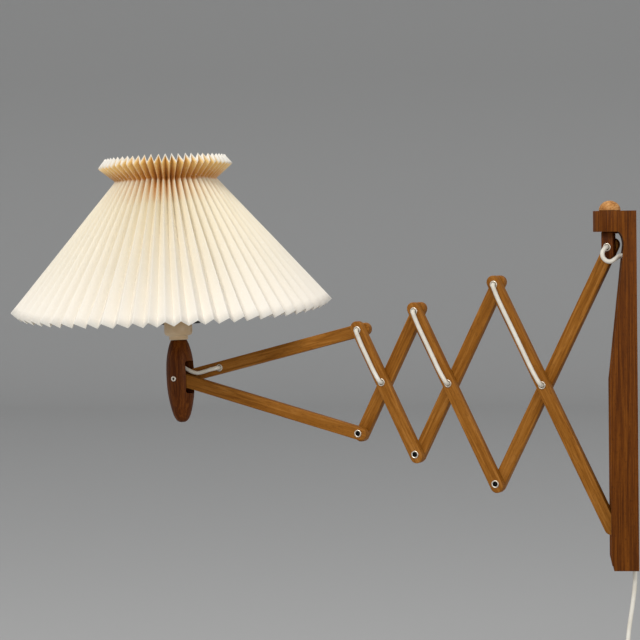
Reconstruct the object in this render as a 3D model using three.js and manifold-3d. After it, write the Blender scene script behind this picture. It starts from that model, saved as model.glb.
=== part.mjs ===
// Accordion wall lamp: a scissor arm of oak bars that swivels on a wall bar and carries a pleated shade.
// Lengths are in millimetres, +Z is up, the wall is the plane x = 0 and the lamp stands out along -X.
import * as THREE from 'three';
import { mergeVertices } from 'three/addons/utils/BufferGeometryUtils.js';
import Module from 'manifold-3d';

const wasm = await Module();
wasm.setup();
const rad = THREE.MathUtils.degToRad;

// Clearances and drawing steps
const TOUCH_GAP = 0.3;
const RUN_GAP = 0.25;
const CUT_OVERRUN = 4;
const ROUND_SIDES = 28;
const HOLE_SIDES = 14;
const END_STEPS = 6;
const CORD_SIDES = 8;
const CORD_STEPS = 2;

// Rest pose, as photographed
const ARM_SWING_DEG = 21.9;
const BAR_ANGLE_DEG = 63.1;
const HEAD_LEAN_DEG = 2.5;

// Arm bars
const BAR_WIDTH = 15;
const BAR_THICK = 9.5;
const LAYER_GAP = 0.5;
const BAR_END = 3;
const SPAN_1 = 67.3;
const SPAN_2 = 92.2;
const SPAN_3 = 126.3;
const SPAN_4 = 172.6;
const HEAD_BAR_SPAN = 248.5;
const CORD_EYELET_INSET = 54.5;

// Hollow eyelets and the rivet of the head
const EYELET_BORE_R = 3;
const EYELET_TUBE_R = 3.35;
const EYELET_FLANGE_R = 4.4;
const EYELET_FLANGE_T = 0.8;
const RIVET_BORE_R = 1.4;
const RIVET_TUBE_R = 2.1;
const RIVET_FLANGE_R = 3.3;
const RIVET_FLANGE_T = 0.8;
const RIVET_NOTCH_SIDE = 0.6;
const RIVET_NOTCH_RISE = 3.2;
const RIVET_NOTCH_FLARE = 1.8;
const RIVET_NOTCH_DROP = 14;

// Wall bar
const WALL_TOP = 198;
const WALL_BOTTOM = -198;
const WALL_WIDTH = 48;
const WALL_DEPTH = 30;
const NECK_DEPTH = 13.8;
const TAPER_END_Z = 10;
const FOOT_CHAMFER_HIGH = 12;
const FOOT_CHAMFER_DEEP = 2.8;
const HEAD_UNDER = 175;
const HEAD_DEPTH = 46.5;
const HEAD_FLAT = 27;
const NOTCH_ROUND_DEEP = 7.2;
const NOTCH_ROUND_HIGH = 15;

// Channel in the wall bar for the arm's lower end
const SWIVEL_X = -28;
const CHANNEL_R = 15.2;
const MOUTH_IN_X = -20;
const MOUTH_IN_HALF = 13;
const MOUTH_OUT_HALF = 19.5;

// Swivel post and knob
const POST_R = 9;
const POST_FOOT_Z = 173;
const TONGUE_WIDTH = 13.6;
const TONGUE_PIVOT_Z = 158;
const TONGUE_END = 8;
const TENON_R = 5;
const TENON_HIGH = 6;
const KNOB_R = 12.1;
const KNOB_HIGH = 11.2;

// Hanger plate on the back of the wall bar, let in flush
const PLATE_Y = 9;
const PLATE_Z = 128;
const PLATE_WIDTH = 16;
const PLATE_HIGH = 46;
const PLATE_THICK = 1.3;
const PLATE_CORNER_R = 3;
const KEYHOLE_R = 4.2;
const KEYHOLE_SLOT_R = 2.2;
const KEYHOLE_RUN = 8;
const KEYHOLE_POCKET = 5;
const PLATE_SCREW_SPREAD = 17;
const SCREW_R = 1.5;
const SCREW_HEAD_R = 2.8;
const SCREW_HEAD_T = 0.9;
const SCREW_LENGTH = 9;

// Cord and its way through the wall bar
const CORD_R = 2.45;
const GROOVE_Y = -9;
const GROOVE_WIDTH = 6.4;
const GROOVE_DEPTH = 7.4;
const GROOVE_TOP_Z = 153;
const CORD_HOLE_Z = 148.5;
const CORD_HOLE_R = 3;
const CORD_LIFT = 0.5;
const CORD_BEND = 3.6;
const CORD_SLACK = 1.6;

// Head: turned spindle, measured up and down from its rivet
const SPINDLE_R = 16.9;
const SPINDLE_UP = 46;
const SPINDLE_DOWN = 53;
const SLOT_WIDTH = 20.5;
const SLOT_UP = 20.6;
const SLOT_DOWN = 18.4;
const SLOT_IN = 12;
const SLOT_CORNER_R = 3;
const CORD_BORE_R = 3.2;

// Lampholder
const NIPPLE_R = 5;
const NIPPLE_BORE_R = 3.3;
const NIPPLE_LOW = 30;
const NIPPLE_HIGH = 58.5;
const NUT_R = 8;
const NUT_T = 3.6;
const NUT_SIDES = 6;
const CAP_NECK_R = 11.4;
const CAP_NECK_HIGH = 4.6;
const CAP_SHOULDER_HIGH = 4.4;
const CAP_FLOOR_T = 3.2;
const HOLDER_R = 17;
const HOLDER_WALL = 2.1;
const CAP_TOP = 76.6;
const SKIRT_TOP = 103.5;
const SKIRT_FLANGE_Z = 84;
const SKIRT_FLANGE_R = 20.5;
const SKIRT_FLANGE_T = 1.6;
const PUSH_Z = 69;
const PUSH_SIZE = 7.6;
const PUSH_OUT = 30;
const PUSH_IN = 29;
const INSULATOR_LOW = 77.6;
const INSULATOR_T = 4;
const SHELL_R = 14.1;
const SHELL_WALL = 0.5;
const SHELL_TOP = 101;
const CONTACT_R = 3;
const CONTACT_STEM_R = 1.5;
const CONTACT_HIGH = 2.3;
const CONTACT_DEEP = 6.5;
const RING_R = 22;
const RING_HIGH = 6;

// Bulb
const BULB_CAP_R = 13.2;
const BULB_CAP_LOW = 84.6;
const BULB_CAP_HIGH = 23;
const BULB_CAP_WALL = 0.6;
const BULB_R = 30;
const BULB_CENTRE_Z = 162;
const BULB_NECK_R = 12.1;
const BULB_NECK_LOW = 94;
const BULB_NECK_TOP = 112;
const GLASS_T = 1;
const BULB_STEPS = 10;
const BULB_SIDES = 20;

// Shade and its wire carrier
const WIRE_R = 1.25;
const SPOKES = 3;
const SPOKE_ELBOW_R = 39;
const SPOKE_ELBOW_Z = 116;
const SHADE_SHIFT = 7.6;
const PLEATS = 57;
const PLEAT_WIDTH = 14.2;
const PAPER_T = 0.5;
const RIM_R = 196.8;
const RIM_Z = 89.7;
const RIM_OVAL = 26.3;
const RIM_OVAL_POWER = 0.7;
const RIM_OVAL_TURN_DEG = 27;
const WAIST_R = 61.4;
const WAIST_Z = 240.5;
const COLLAR_R = 81.6;
const COLLAR_Z = 257.4;

// Hank of the cord's spare length, hung below the wall bar
const HANK_LOOPS = 5.28;
const HANK_STEPS_PER_LOOP = 24;
const HANK_SIDES = 6;
const HANK_FOLD_R = 15.6;
const HANK_STEP = 6.5;
const HANK_LAYER_STEP = 5.9;
const HANK_RUN = 80;
const HANK_DRAW = 10;
const HANK_LEAD = 6;
const HANK_TAIL = 42;
const HANK_RUN_SHARE = 0.28;
const HANK_CLIMB_START = 2.5;
const HANK_MIN_GAP = 0.4;
const TIE_HIGH = 9;
const TIE_T = 1;

// Mains plug
const PLUG_LENGTH = 36;
const PLUG_WIDTH = 26;
const PLUG_NECK_WIDTH = 12;
const PLUG_THICK = 13.6;
const PLUG_CORNER = 2.5;
const PLUG_NOSE_SHARE = 0.45;
const PIN_R = 2;
const PIN_LENGTH = 19;
const PIN_SPACING = 18.6;
const PIN_SEAT = 5;

// Finishes as colour, roughness and metalness
const FINISH = {
  oak: [0xa0601c, 0.55, 0],
  oakWall: [0x7a420e, 0.55, 0],
  oakDark: [0x57290c, 0.5, 0],
  oakPale: [0xc08a48, 0.5, 0],
  nickel: [0xd6d2c6, 0.35, 0.9],
  steel: [0xa8a8a4, 0.4, 0.9],
  brass: [0xb8964a, 0.4, 0.9],
  cream: [0xddcfae, 0.45, 0],
  black: [0x17130f, 0.4, 0],
  ceramic: [0xe6e1d6, 0.3, 0],
  cord: [0xe8e2d2, 0.6, 0],
  paper: [0xf3e6c4, 0.85, 0],
  glass: [0xf6f2e4, 0.15, 0],
  tie: [0x3a3a38, 0.7, 0],
};

// Values worked out from the sizes above
const layerInner = LAYER_GAP / 2;
const layerOuter = layerInner + BAR_THICK;
const barAngle = rad(BAR_ANGLE_DEG);
const spans = [SPAN_1, SPAN_2, SPAN_3, SPAN_4];
const crossZ = TONGUE_PIVOT_Z - SPAN_4 * Math.sin(barAngle);
const headBarAngle = Math.asin((SPAN_1 * Math.sin(barAngle)) / HEAD_BAR_SPAN);

const crossOut = [];
crossOut[2] = SPAN_4 * Math.cos(barAngle);
crossOut[1] = crossOut[2] + 2 * SPAN_3 * Math.cos(barAngle);
crossOut[0] = crossOut[1] + 2 * SPAN_2 * Math.cos(barAngle);
const rivetOut = crossOut[0] + SPAN_1 * Math.cos(barAngle) + HEAD_BAR_SPAN * Math.cos(headBarAngle);

// Place of a pivot in the arm's own frame: the crossings, and the ends above and below them
function crossing(k) {
  return new THREE.Vector3(-crossOut[k - 1], 0, crossZ);
}

function endPivot(k, side) {
  if (k === spans.length) {
    return new THREE.Vector3(0, 0, crossZ + side * SPAN_4 * Math.sin(barAngle));
  }
  const out = crossOut[k - 1] + spans[k - 1] * Math.cos(barAngle);
  return new THREE.Vector3(-out, 0, crossZ + side * spans[k - 1] * Math.sin(barAngle));
}

const rivetPlace = new THREE.Vector3(-rivetOut, 0, crossZ);

// One closed geometry with shared corners, no flat triangles and its faces turned outwards
function closed(geometry) {
  const bare = new THREE.BufferGeometry();
  bare.setAttribute('position', geometry.getAttribute('position').clone());
  bare.setIndex(geometry.getIndex());
  const merged = mergeVertices(bare);
  const place = merged.getAttribute('position');
  const index = merged.getIndex().array;
  const corner = [0, 1, 2].map(() => new THREE.Vector3());
  const kept = [];
  let volume = 0;
  for (let i = 0; i < index.length; i += 3) {
    const [a, b, c] = [index[i], index[i + 1], index[i + 2]];
    if (a === b || b === c || c === a) {
      continue;
    }
    corner.forEach((point, n) => point.fromBufferAttribute(place, index[i + n]));
    volume += corner[0].dot(corner[1].clone().cross(corner[2]));
    kept.push(a, b, c);
  }
  if (volume < 0) {
    for (let i = 0; i < kept.length; i += 3) {
      [kept[i], kept[i + 1]] = [kept[i + 1], kept[i]];
    }
  }
  merged.setIndex(kept);
  return merged;
}

function solidOf(geometry) {
  const whole = closed(geometry);
  return new wasm.Manifold(new wasm.Mesh({
    numProp: 3,
    vertProperties: new Float32Array(whole.getAttribute('position').array),
    triVerts: new Uint32Array(whole.getIndex().array),
  }));
}

function geometryOf(solid) {
  const mesh = solid.getMesh();
  const geometry = new THREE.BufferGeometry();
  geometry.setAttribute('position', new THREE.BufferAttribute(mesh.vertProperties, 3));
  geometry.setIndex(new THREE.BufferAttribute(mesh.triVerts, 1));
  return geometry;
}

// The first geometry with the others cut away, or all of them joined
function cut(body, ...tools) {
  return geometryOf(tools.reduce((solid, tool) => solid.subtract(solidOf(tool)), solidOf(body)));
}

function joined(...pieces) {
  return geometryOf(pieces.map(solidOf).reduce((whole, next) => whole.add(next)));
}

// Turned shapes: pairs of radius and place along the axis, about Y, Z or X
function turnedY(profile, sides = ROUND_SIDES) {
  return new THREE.LatheGeometry(profile.map(([r, y]) => new THREE.Vector2(r, y)), sides);
}

function turnedZ(profile, sides = ROUND_SIDES) {
  return turnedY(profile, sides).rotateX(Math.PI / 2);
}

function turnedX(profile, sides = ROUND_SIDES) {
  return turnedY(profile, sides).rotateZ(-Math.PI / 2);
}

function rodProfile(radius, from, to) {
  return [[0, from], [radius, from], [radius, to], [0, to]];
}

function tubeProfile(inner, outer, from, to) {
  return [[inner, from], [outer, from], [outer, to], [inner, to], [inner, from]];
}

function block(x, y, z) {
  const box = new THREE.BoxGeometry(x[1] - x[0], y[1] - y[0], z[1] - z[0]);
  return box.translate((x[0] + x[1]) / 2, (y[0] + y[1]) / 2, (z[0] + z[1]) / 2);
}

// A flat outline in X and Z with some thickness along Y, from one y to another
function slab(outline, fromY, toY, steps = END_STEPS) {
  const options = { depth: toY - fromY, bevelEnabled: false, curveSegments: steps };
  return new THREE.ExtrudeGeometry(outline, options).rotateX(Math.PI / 2).translate(0, toY, 0);
}

// A flat outline in X and Y raised from one z to another
function raised(outline, fromZ, toZ, steps = END_STEPS) {
  const options = { depth: toZ - fromZ, bevelEnabled: false, curveSegments: steps };
  return new THREE.ExtrudeGeometry(outline, options).translate(0, 0, fromZ);
}

function polygon(points) {
  return new THREE.Shape(points.map(([x, y]) => new THREE.Vector2(x, y)));
}

function ringPoints(radius, sides, x = 0, y = 0) {
  const points = [];
  for (let i = 0; i < sides; i += 1) {
    const turn = (2 * Math.PI * i) / sides;
    points.push([x + radius * Math.cos(turn), y + radius * Math.sin(turn)]);
  }
  return points;
}

function roundedBox(halfX, lowY, highY, corner) {
  const shape = new THREE.Shape();
  shape.moveTo(-halfX + corner, lowY);
  shape.lineTo(halfX - corner, lowY);
  shape.absarc(halfX - corner, lowY + corner, corner, -Math.PI / 2, 0, false);
  shape.lineTo(halfX, highY - corner);
  shape.absarc(halfX - corner, highY - corner, corner, 0, Math.PI / 2, false);
  shape.lineTo(-halfX + corner, highY);
  shape.absarc(-halfX + corner, highY - corner, corner, Math.PI / 2, Math.PI, false);
  shape.lineTo(-halfX, lowY + corner);
  shape.absarc(-halfX + corner, lowY + corner, corner, Math.PI, 1.5 * Math.PI, false);
  return shape;
}

// A smooth curve through points, stepped evenly from one to the next so that bends get more steps
function smoothPath(points) {
  const path = new THREE.CatmullRomCurve3(points.map((p) => new THREE.Vector3(...p)), false, 'centripetal');
  path.getUtoTmapping = (share) => share;
  return path;
}

function wireAlong(points, radius, sides) {
  const steps = CORD_STEPS * (points.length - 1);
  const section = polygon(ringPoints(radius, sides));
  return new THREE.ExtrudeGeometry(section, { steps, extrudePath: smoothPath(points), bevelEnabled: false });
}

function cordAlong(points) {
  return wireAlong(points, CORD_R, CORD_SIDES);
}

const lamp = new THREE.Group();
const arm = new THREE.Group();
arm.position.set(SWIVEL_X, 0, 0);
arm.rotation.z = -rad(ARM_SWING_DEG);
lamp.add(arm);
const head = new THREE.Group();
head.position.copy(rivetPlace);
head.rotation.y = -rad(HEAD_LEAN_DEG);
arm.add(head);

function addPiece(parent, name, geometry, finish) {
  const [color, roughness, metalness] = FINISH[finish];
  const material = new THREE.MeshStandardMaterial({ color, roughness, metalness });
  const mesh = new THREE.Mesh(closed(geometry), material);
  mesh.name = name;
  parent.add(mesh);
  return mesh;
}

// Wall bar: a tapered oak bar with a nosed head over a notch, and a channel down its front
function wallBarOutline() {
  const roundTopX = -(NECK_DEPTH + NOTCH_ROUND_DEEP);
  const roundLowZ = HEAD_UNDER - NOTCH_ROUND_HIGH;
  const shape = new THREE.Shape();
  shape.moveTo(0, WALL_BOTTOM);
  shape.lineTo(0, WALL_TOP);
  shape.lineTo(roundTopX, WALL_TOP);
  shape.lineTo(roundTopX, HEAD_UNDER);
  shape.absellipse(roundTopX, roundLowZ, NOTCH_ROUND_DEEP, NOTCH_ROUND_HIGH, Math.PI / 2, 0, true, 0);
  shape.lineTo(-WALL_DEPTH, TAPER_END_Z);
  shape.lineTo(-WALL_DEPTH, WALL_BOTTOM + FOOT_CHAMFER_HIGH);
  shape.lineTo(-WALL_DEPTH + FOOT_CHAMFER_DEEP, WALL_BOTTOM);
  return shape;
}

function headOutline() {
  const half = WALL_WIDTH / 2;
  const rise = HEAD_DEPTH - HEAD_FLAT;
  const noseR = (half * half + rise * rise) / (2 * rise);
  const reach = Math.asin(half / noseR);
  const shape = new THREE.Shape();
  shape.moveTo(0, -half);
  shape.lineTo(0, half);
  shape.lineTo(-HEAD_FLAT, half);
  shape.absarc(noseR - HEAD_DEPTH, 0, noseR, Math.PI - reach, Math.PI + reach, false);
  shape.lineTo(-HEAD_FLAT, -half);
  return shape;
}

function wallBar() {
  const half = WALL_WIDTH / 2;
  const low = WALL_BOTTOM - CUT_OVERRUN;
  const body = joined(
    slab(wallBarOutline(), -half, half),
    raised(headOutline(), HEAD_UNDER, WALL_TOP, ROUND_SIDES / 2),
  );
  const mouth = polygon([
    [MOUTH_IN_X, -MOUTH_IN_HALF],
    [MOUTH_IN_X, MOUTH_IN_HALF],
    [-WALL_DEPTH, MOUTH_OUT_HALF],
    [-WALL_DEPTH - CUT_OVERRUN, MOUTH_OUT_HALF],
    [-WALL_DEPTH - CUT_OVERRUN, -MOUTH_OUT_HALF],
    [-WALL_DEPTH, -MOUTH_OUT_HALF],
  ]);
  const channel = turnedZ(rodProfile(CHANNEL_R, low, HEAD_UNDER)).translate(SWIVEL_X, 0, 0);
  const postHole = rodProfile(POST_R + RUN_GAP, HEAD_UNDER - CUT_OVERRUN, WALL_TOP + CUT_OVERRUN);
  const grooveY = [GROOVE_Y - GROOVE_WIDTH / 2, GROOVE_Y + GROOVE_WIDTH / 2];
  const groove = block([-GROOVE_DEPTH, CUT_OVERRUN], grooveY, [low, GROOVE_TOP_Z]);
  const cordHole = turnedX(rodProfile(CORD_HOLE_R, -NECK_DEPTH - CUT_OVERRUN, 0), HOLE_SIDES);
  cordHole.translate(0, GROOVE_Y, CORD_HOLE_Z);
  return cut(
    body,
    channel,
    raised(mouth, low, HEAD_UNDER),
    turnedZ(postHole).translate(SWIVEL_X, 0, 0),
    groove,
    cordHole,
    ...plateSeat(),
  );
}

// Hanger plate with its keyhole, two screws, and the seat they need in the wood
function plateOutline(grow) {
  const half = PLATE_HIGH / 2 + grow;
  return roundedBox(PLATE_WIDTH / 2 + grow, -half, half, PLATE_CORNER_R);
}

// Turns an outline in X and Y to lie on the wall, its own Y upwards, from one depth to another
function onBack(outline, shallow, deep, steps = END_STEPS) {
  return raised(outline, shallow, deep, steps)
    .rotateZ(-Math.PI / 2).rotateY(-Math.PI / 2).translate(0, PLATE_Y, PLATE_Z);
}

function keyhole(grow) {
  const wide = polygon(ringPoints(KEYHOLE_R + grow, HOLE_SIDES, 0, -KEYHOLE_RUN / 2));
  const slot = roundedBox(
    KEYHOLE_SLOT_R + grow,
    -KEYHOLE_RUN / 2,
    KEYHOLE_RUN / 2 + KEYHOLE_SLOT_R + grow,
    KEYHOLE_SLOT_R,
  );
  return [wide, slot];
}

function plateSeat() {
  const pieces = [onBack(plateOutline(TOUCH_GAP), -CUT_OVERRUN, PLATE_THICK + 2 * TOUCH_GAP)];
  for (const outline of keyhole(SCREW_R)) {
    pieces.push(onBack(outline, 0, PLATE_THICK + KEYHOLE_POCKET));
  }
  for (const side of [-1, 1]) {
    const hole = polygon(ringPoints(SCREW_R + RUN_GAP, HOLE_SIDES, 0, side * PLATE_SCREW_SPREAD));
    pieces.push(onBack(hole, 0, SCREW_LENGTH + 2 * TOUCH_GAP));
  }
  return pieces;
}

function addHanger() {
  const tools = keyhole(0).map((outline) => onBack(outline, 0, PLATE_THICK + CUT_OVERRUN));
  for (const side of [-1, 1]) {
    const spot = [0, side * PLATE_SCREW_SPREAD];
    const sink = polygon(ringPoints(SCREW_HEAD_R + RUN_GAP, HOLE_SIDES, ...spot));
    const hole = polygon(ringPoints(SCREW_R + RUN_GAP, HOLE_SIDES, ...spot));
    tools.push(onBack(sink, 0, TOUCH_GAP + SCREW_HEAD_T - RUN_GAP), onBack(hole, 0, PLATE_THICK + CUT_OVERRUN));
  }
  const blank = onBack(plateOutline(0), TOUCH_GAP, TOUCH_GAP + PLATE_THICK);
  addPiece(lamp, 'hanger_plate', cut(blank, ...tools), 'steel');
  const shank = TOUCH_GAP + SCREW_HEAD_T - 2 * RUN_GAP;
  const profile = [
    [0, -SCREW_LENGTH],
    [SCREW_R, -SCREW_LENGTH + SCREW_R],
    [SCREW_R, -shank],
    [SCREW_HEAD_R, -shank],
    [SCREW_HEAD_R, -RUN_GAP / 2],
    [0, -RUN_GAP / 2],
  ];
  for (const [name, side] of [['hanger_screw_top', 1], ['hanger_screw_bottom', -1]]) {
    const screw = turnedX(profile, HOLE_SIDES).translate(0, PLATE_Y, PLATE_Z + side * PLATE_SCREW_SPREAD);
    addPiece(lamp, name, screw, 'steel');
  }
}

// Swivel: a dowel through the head of the wall bar, with a tongue below and a knob above
function swivelPost() {
  const shoulder = HEAD_UNDER - 2 * TOUCH_GAP;
  const half = TONGUE_WIDTH / 2;
  const tongue = new THREE.Shape();
  tongue.moveTo(half, shoulder);
  tongue.lineTo(-half, shoulder);
  tongue.lineTo(-half, TONGUE_PIVOT_Z - TONGUE_END);
  tongue.absarc(0, TONGUE_PIVOT_Z - TONGUE_END, half, Math.PI, 2 * Math.PI, false);
  const hole = turnedY(rodProfile(EYELET_TUBE_R + RUN_GAP, -layerOuter - CUT_OVERRUN, 0), HOLE_SIDES);
  const dowel = turnedZ([
    [0, POST_FOOT_Z],
    [POST_R, POST_FOOT_Z],
    [POST_R, WALL_TOP],
    [TENON_R, WALL_TOP],
    [TENON_R, WALL_TOP + TENON_HIGH],
    [0, WALL_TOP + TENON_HIGH],
  ]);
  return cut(
    joined(slab(tongue, -layerOuter, -layerInner), dowel),
    hole.translate(0, 0, TONGUE_PIVOT_Z),
  );
}

function swivelKnob() {
  const base = WALL_TOP + TOUCH_GAP;
  const profile = [
    [0, base + TENON_HIGH],
    [TENON_R + RUN_GAP, base + TENON_HIGH],
    [TENON_R + RUN_GAP, base],
  ];
  for (let i = 0; i <= END_STEPS; i += 1) {
    const turn = (Math.PI / 2) * (i / END_STEPS);
    profile.push([KNOB_R * Math.cos(turn), base + KNOB_HIGH * Math.sin(turn)]);
  }
  return turnedZ(profile);
}

// A bar hangs from its first pivot along -Z, with round ends and holes at its pivots
function barOutline(length, farEnd = BAR_END) {
  const half = BAR_WIDTH / 2;
  const shape = new THREE.Shape();
  shape.moveTo(half, BAR_END);
  shape.absarc(0, BAR_END, half, 0, Math.PI, false);
  shape.lineTo(-half, -length - farEnd);
  shape.absarc(0, -length - farEnd, half, Math.PI, 2 * Math.PI, false);
  return shape;
}

function drill(shape, radius, z) {
  shape.holes.push(new THREE.Path(ringPoints(radius, HOLE_SIDES, 0, z).map(([x, y]) => new THREE.Vector2(x, y))));
}

function layer(isFront) {
  return isFront ? [-layerOuter, -layerInner] : [layerInner, layerOuter];
}

function placeBar(mesh, pivot, turn) {
  mesh.position.copy(pivot);
  mesh.rotation.y = turn;
}

function addArmBars() {
  for (let k = 1; k <= 3; k += 1) {
    const near = spans[k - 1];
    const far = spans[k];
    const front = barOutline(near + far);
    drill(front, EYELET_TUBE_R + RUN_GAP, 0);
    drill(front, EYELET_TUBE_R + RUN_GAP, -near);
    if (k < 3) {
      drill(front, EYELET_TUBE_R + RUN_GAP, -near - far);
    }
    const frontBar = addPiece(arm, `front_bar_${k}`, slab(front, ...layer(true)), 'oak');
    placeBar(frontBar, endPivot(k, 1), barAngle - Math.PI / 2);
    const back = barOutline(near + far);
    for (const z of [0, -far, -near - far]) {
      drill(back, EYELET_TUBE_R + RUN_GAP, z);
    }
    const backBar = addPiece(arm, `back_bar_${k}`, slab(back, ...layer(false)), 'oak');
    placeBar(backBar, endPivot(k + 1, 1), Math.PI / 2 - barAngle);
  }
}

// The two long bars that reach from the first cell to the rivet of the head
function addHeadBars() {
  const upper = barOutline(HEAD_BAR_SPAN);
  const cordHoleZ = -HEAD_BAR_SPAN + CORD_EYELET_INSET;
  drill(upper, EYELET_TUBE_R + RUN_GAP, 0);
  drill(upper, EYELET_TUBE_R + RUN_GAP, cordHoleZ);
  drill(upper, RIVET_TUBE_R + RUN_GAP, -HEAD_BAR_SPAN);
  const sinkDepth = layerInner + EYELET_FLANGE_T + 2 * TOUCH_GAP;
  const sink = turnedY(rodProfile(EYELET_FLANGE_R + RUN_GAP, -CUT_OVERRUN, sinkDepth), HOLE_SIDES);
  const upperSolid = cut(slab(upper, ...layer(false)), sink.translate(0, 0, cordHoleZ));
  const upperBar = addPiece(arm, 'upper_head_bar', upperSolid, 'oak');
  placeBar(upperBar, endPivot(1, 1), Math.PI / 2 - headBarAngle);

  const lower = barOutline(HEAD_BAR_SPAN, 0);
  drill(lower, EYELET_TUBE_R + RUN_GAP, 0);
  const side = RIVET_TUBE_R + RIVET_NOTCH_SIDE;
  const notch = new THREE.Shape();
  notch.moveTo(side, RIVET_NOTCH_RISE);
  notch.absarc(0, RIVET_NOTCH_RISE, side, 0, Math.PI, false);
  notch.lineTo(-side, 0);
  notch.lineTo(-side - RIVET_NOTCH_FLARE, -RIVET_NOTCH_DROP);
  notch.lineTo(side + RIVET_NOTCH_FLARE, -RIVET_NOTCH_DROP);
  notch.lineTo(side, 0);
  const turn = Math.PI / 2 + headBarAngle;
  const tool = slab(notch, -layerOuter - CUT_OVERRUN, CUT_OVERRUN).rotateY(-turn);
  const lowerSolid = cut(slab(lower, ...layer(true)), tool.translate(0, 0, -HEAD_BAR_SPAN));
  placeBar(addPiece(arm, 'lower_head_bar', lowerSolid, 'oak'), endPivot(1, -1), turn);
}

// Hollow rivets: a tube with a flange at each end
function flangedTube(bore, tube, flange, flangeT, from, to) {
  return turnedY([
    [bore, from - flangeT],
    [flange, from - flangeT],
    [flange, from],
    [tube, from],
    [tube, to],
    [flange, to],
    [flange, to + flangeT],
    [bore, to + flangeT],
    [bore, from - flangeT],
  ], HOLE_SIDES);
}

function eyelet(from, to) {
  return flangedTube(EYELET_BORE_R, EYELET_TUBE_R, EYELET_FLANGE_R, EYELET_FLANGE_T, from, to);
}

function addEyelets() {
  const seat = layerOuter + TOUCH_GAP;
  const spots = [];
  for (let k = 1; k <= 3; k += 1) {
    spots.push([`eyelet_top_${k}`, endPivot(k, 1)]);
    spots.push([`eyelet_cross_${k}`, crossing(k)]);
    spots.push([`eyelet_bottom_${k}`, endPivot(k, -1)]);
  }
  spots.push(['eyelet_top_4', endPivot(4, 1)]);
  for (const [name, place] of spots) {
    addPiece(arm, name, eyelet(-seat, seat), 'nickel').position.copy(place);
  }
  const sunk = layerInner + TOUCH_GAP / 2 + EYELET_FLANGE_T;
  const cordEyelet = addPiece(arm, 'cord_eyelet', eyelet(sunk, seat), 'nickel');
  cordEyelet.position.copy(headBarPoint(CORD_EYELET_INSET));
  const rivetEnd = SPINDLE_R + TOUCH_GAP;
  const rivet = flangedTube(RIVET_BORE_R, RIVET_TUBE_R, RIVET_FLANGE_R, RIVET_FLANGE_T, -rivetEnd, rivetEnd);
  addPiece(arm, 'spindle_rivet', rivet, 'nickel').position.copy(rivetPlace);
}

// A point on the upper head bar's line, this far from the rivet
function headBarPoint(distance) {
  const along = new THREE.Vector3(Math.cos(headBarAngle), 0, Math.sin(headBarAngle));
  return rivetPlace.clone().addScaledVector(along, distance);
}

// Spindle: radius and height as shares of its greatest radius and of its reach up or down
const spindleTurningShares = [
  [0.2, -1], [0.38, -0.96], [0.56, -0.87], [0.7, -0.74], [0.87, -0.5], [0.97, -0.25], [1, 0],
  [0.99, 0.27], [0.93, 0.53], [0.83, 0.72], [0.71, 0.88], [0.58, 1],
];

function spindle() {
  const profile = [[0, -SPINDLE_DOWN]];
  for (const [r, z] of spindleTurningShares) {
    profile.push([r * SPINDLE_R, z * (z < 0 ? SPINDLE_DOWN : SPINDLE_UP)]);
  }
  profile.push([0, SPINDLE_UP]);
  const slotShape = roundedBox(SLOT_WIDTH / 2, -SLOT_DOWN, SLOT_UP, SLOT_CORNER_R);
  const slot = raised(slotShape, -SLOT_IN, SPINDLE_R + CUT_OVERRUN);
  slot.applyMatrix4(new THREE.Matrix4().makeBasis(
    new THREE.Vector3(0, 1, 0),
    new THREE.Vector3(0, 0, 1),
    new THREE.Vector3(1, 0, 0),
  ));
  const through = SPINDLE_R + CUT_OVERRUN;
  return cut(
    turnedZ(profile),
    slot,
    turnedY(rodProfile(RIVET_TUBE_R + RUN_GAP, -through, through), HOLE_SIDES),
    turnedZ(rodProfile(CORD_BORE_R, 0, NIPPLE_LOW), HOLE_SIDES),
    turnedZ(rodProfile(NIPPLE_R + TOUCH_GAP, NIPPLE_LOW - TOUCH_GAP, SPINDLE_UP + CUT_OVERRUN)),
  );
}

// Lampholder: cap, skirt, push-bar switch, socket parts and the ring that clamps the shade's carrier
const capLow = SPINDLE_UP + TOUCH_GAP;
const capBarrelZ = capLow + CAP_NECK_HIGH + CAP_SHOULDER_HIGH;
const capFloorZ = capLow + CAP_NECK_HIGH + CAP_FLOOR_T;
const holderInner = HOLDER_R - HOLDER_WALL;
const skirtLow = CAP_TOP + TOUCH_GAP;
const hubZ = SKIRT_FLANGE_Z + SKIRT_FLANGE_T + TOUCH_GAP + WIRE_R;
const hubR = HOLDER_R + TOUCH_GAP + WIRE_R;

function holderCap() {
  const shoulderR = (CAP_NECK_R + 3 * HOLDER_R) / 4;
  const barrel = turnedZ([
    [NIPPLE_R + TOUCH_GAP, capLow],
    [CAP_NECK_R, capLow],
    [CAP_NECK_R, capLow + CAP_NECK_HIGH],
    [shoulderR, capLow + CAP_NECK_HIGH + CAP_SHOULDER_HIGH / 4],
    [HOLDER_R, capBarrelZ],
    [HOLDER_R, CAP_TOP],
    [holderInner, CAP_TOP],
    [holderInner, capBarrelZ],
    [CAP_NECK_R, capFloorZ],
    [NIPPLE_R + TOUCH_GAP, capFloorZ],
    [NIPPLE_R + TOUCH_GAP, capLow],
  ]);
  const half = PUSH_SIZE / 2 + TOUCH_GAP;
  const reach = HOLDER_R + CUT_OVERRUN;
  return cut(barrel, block([-reach, reach], [-half, half], [PUSH_Z - half, PUSH_Z + half]));
}

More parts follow.
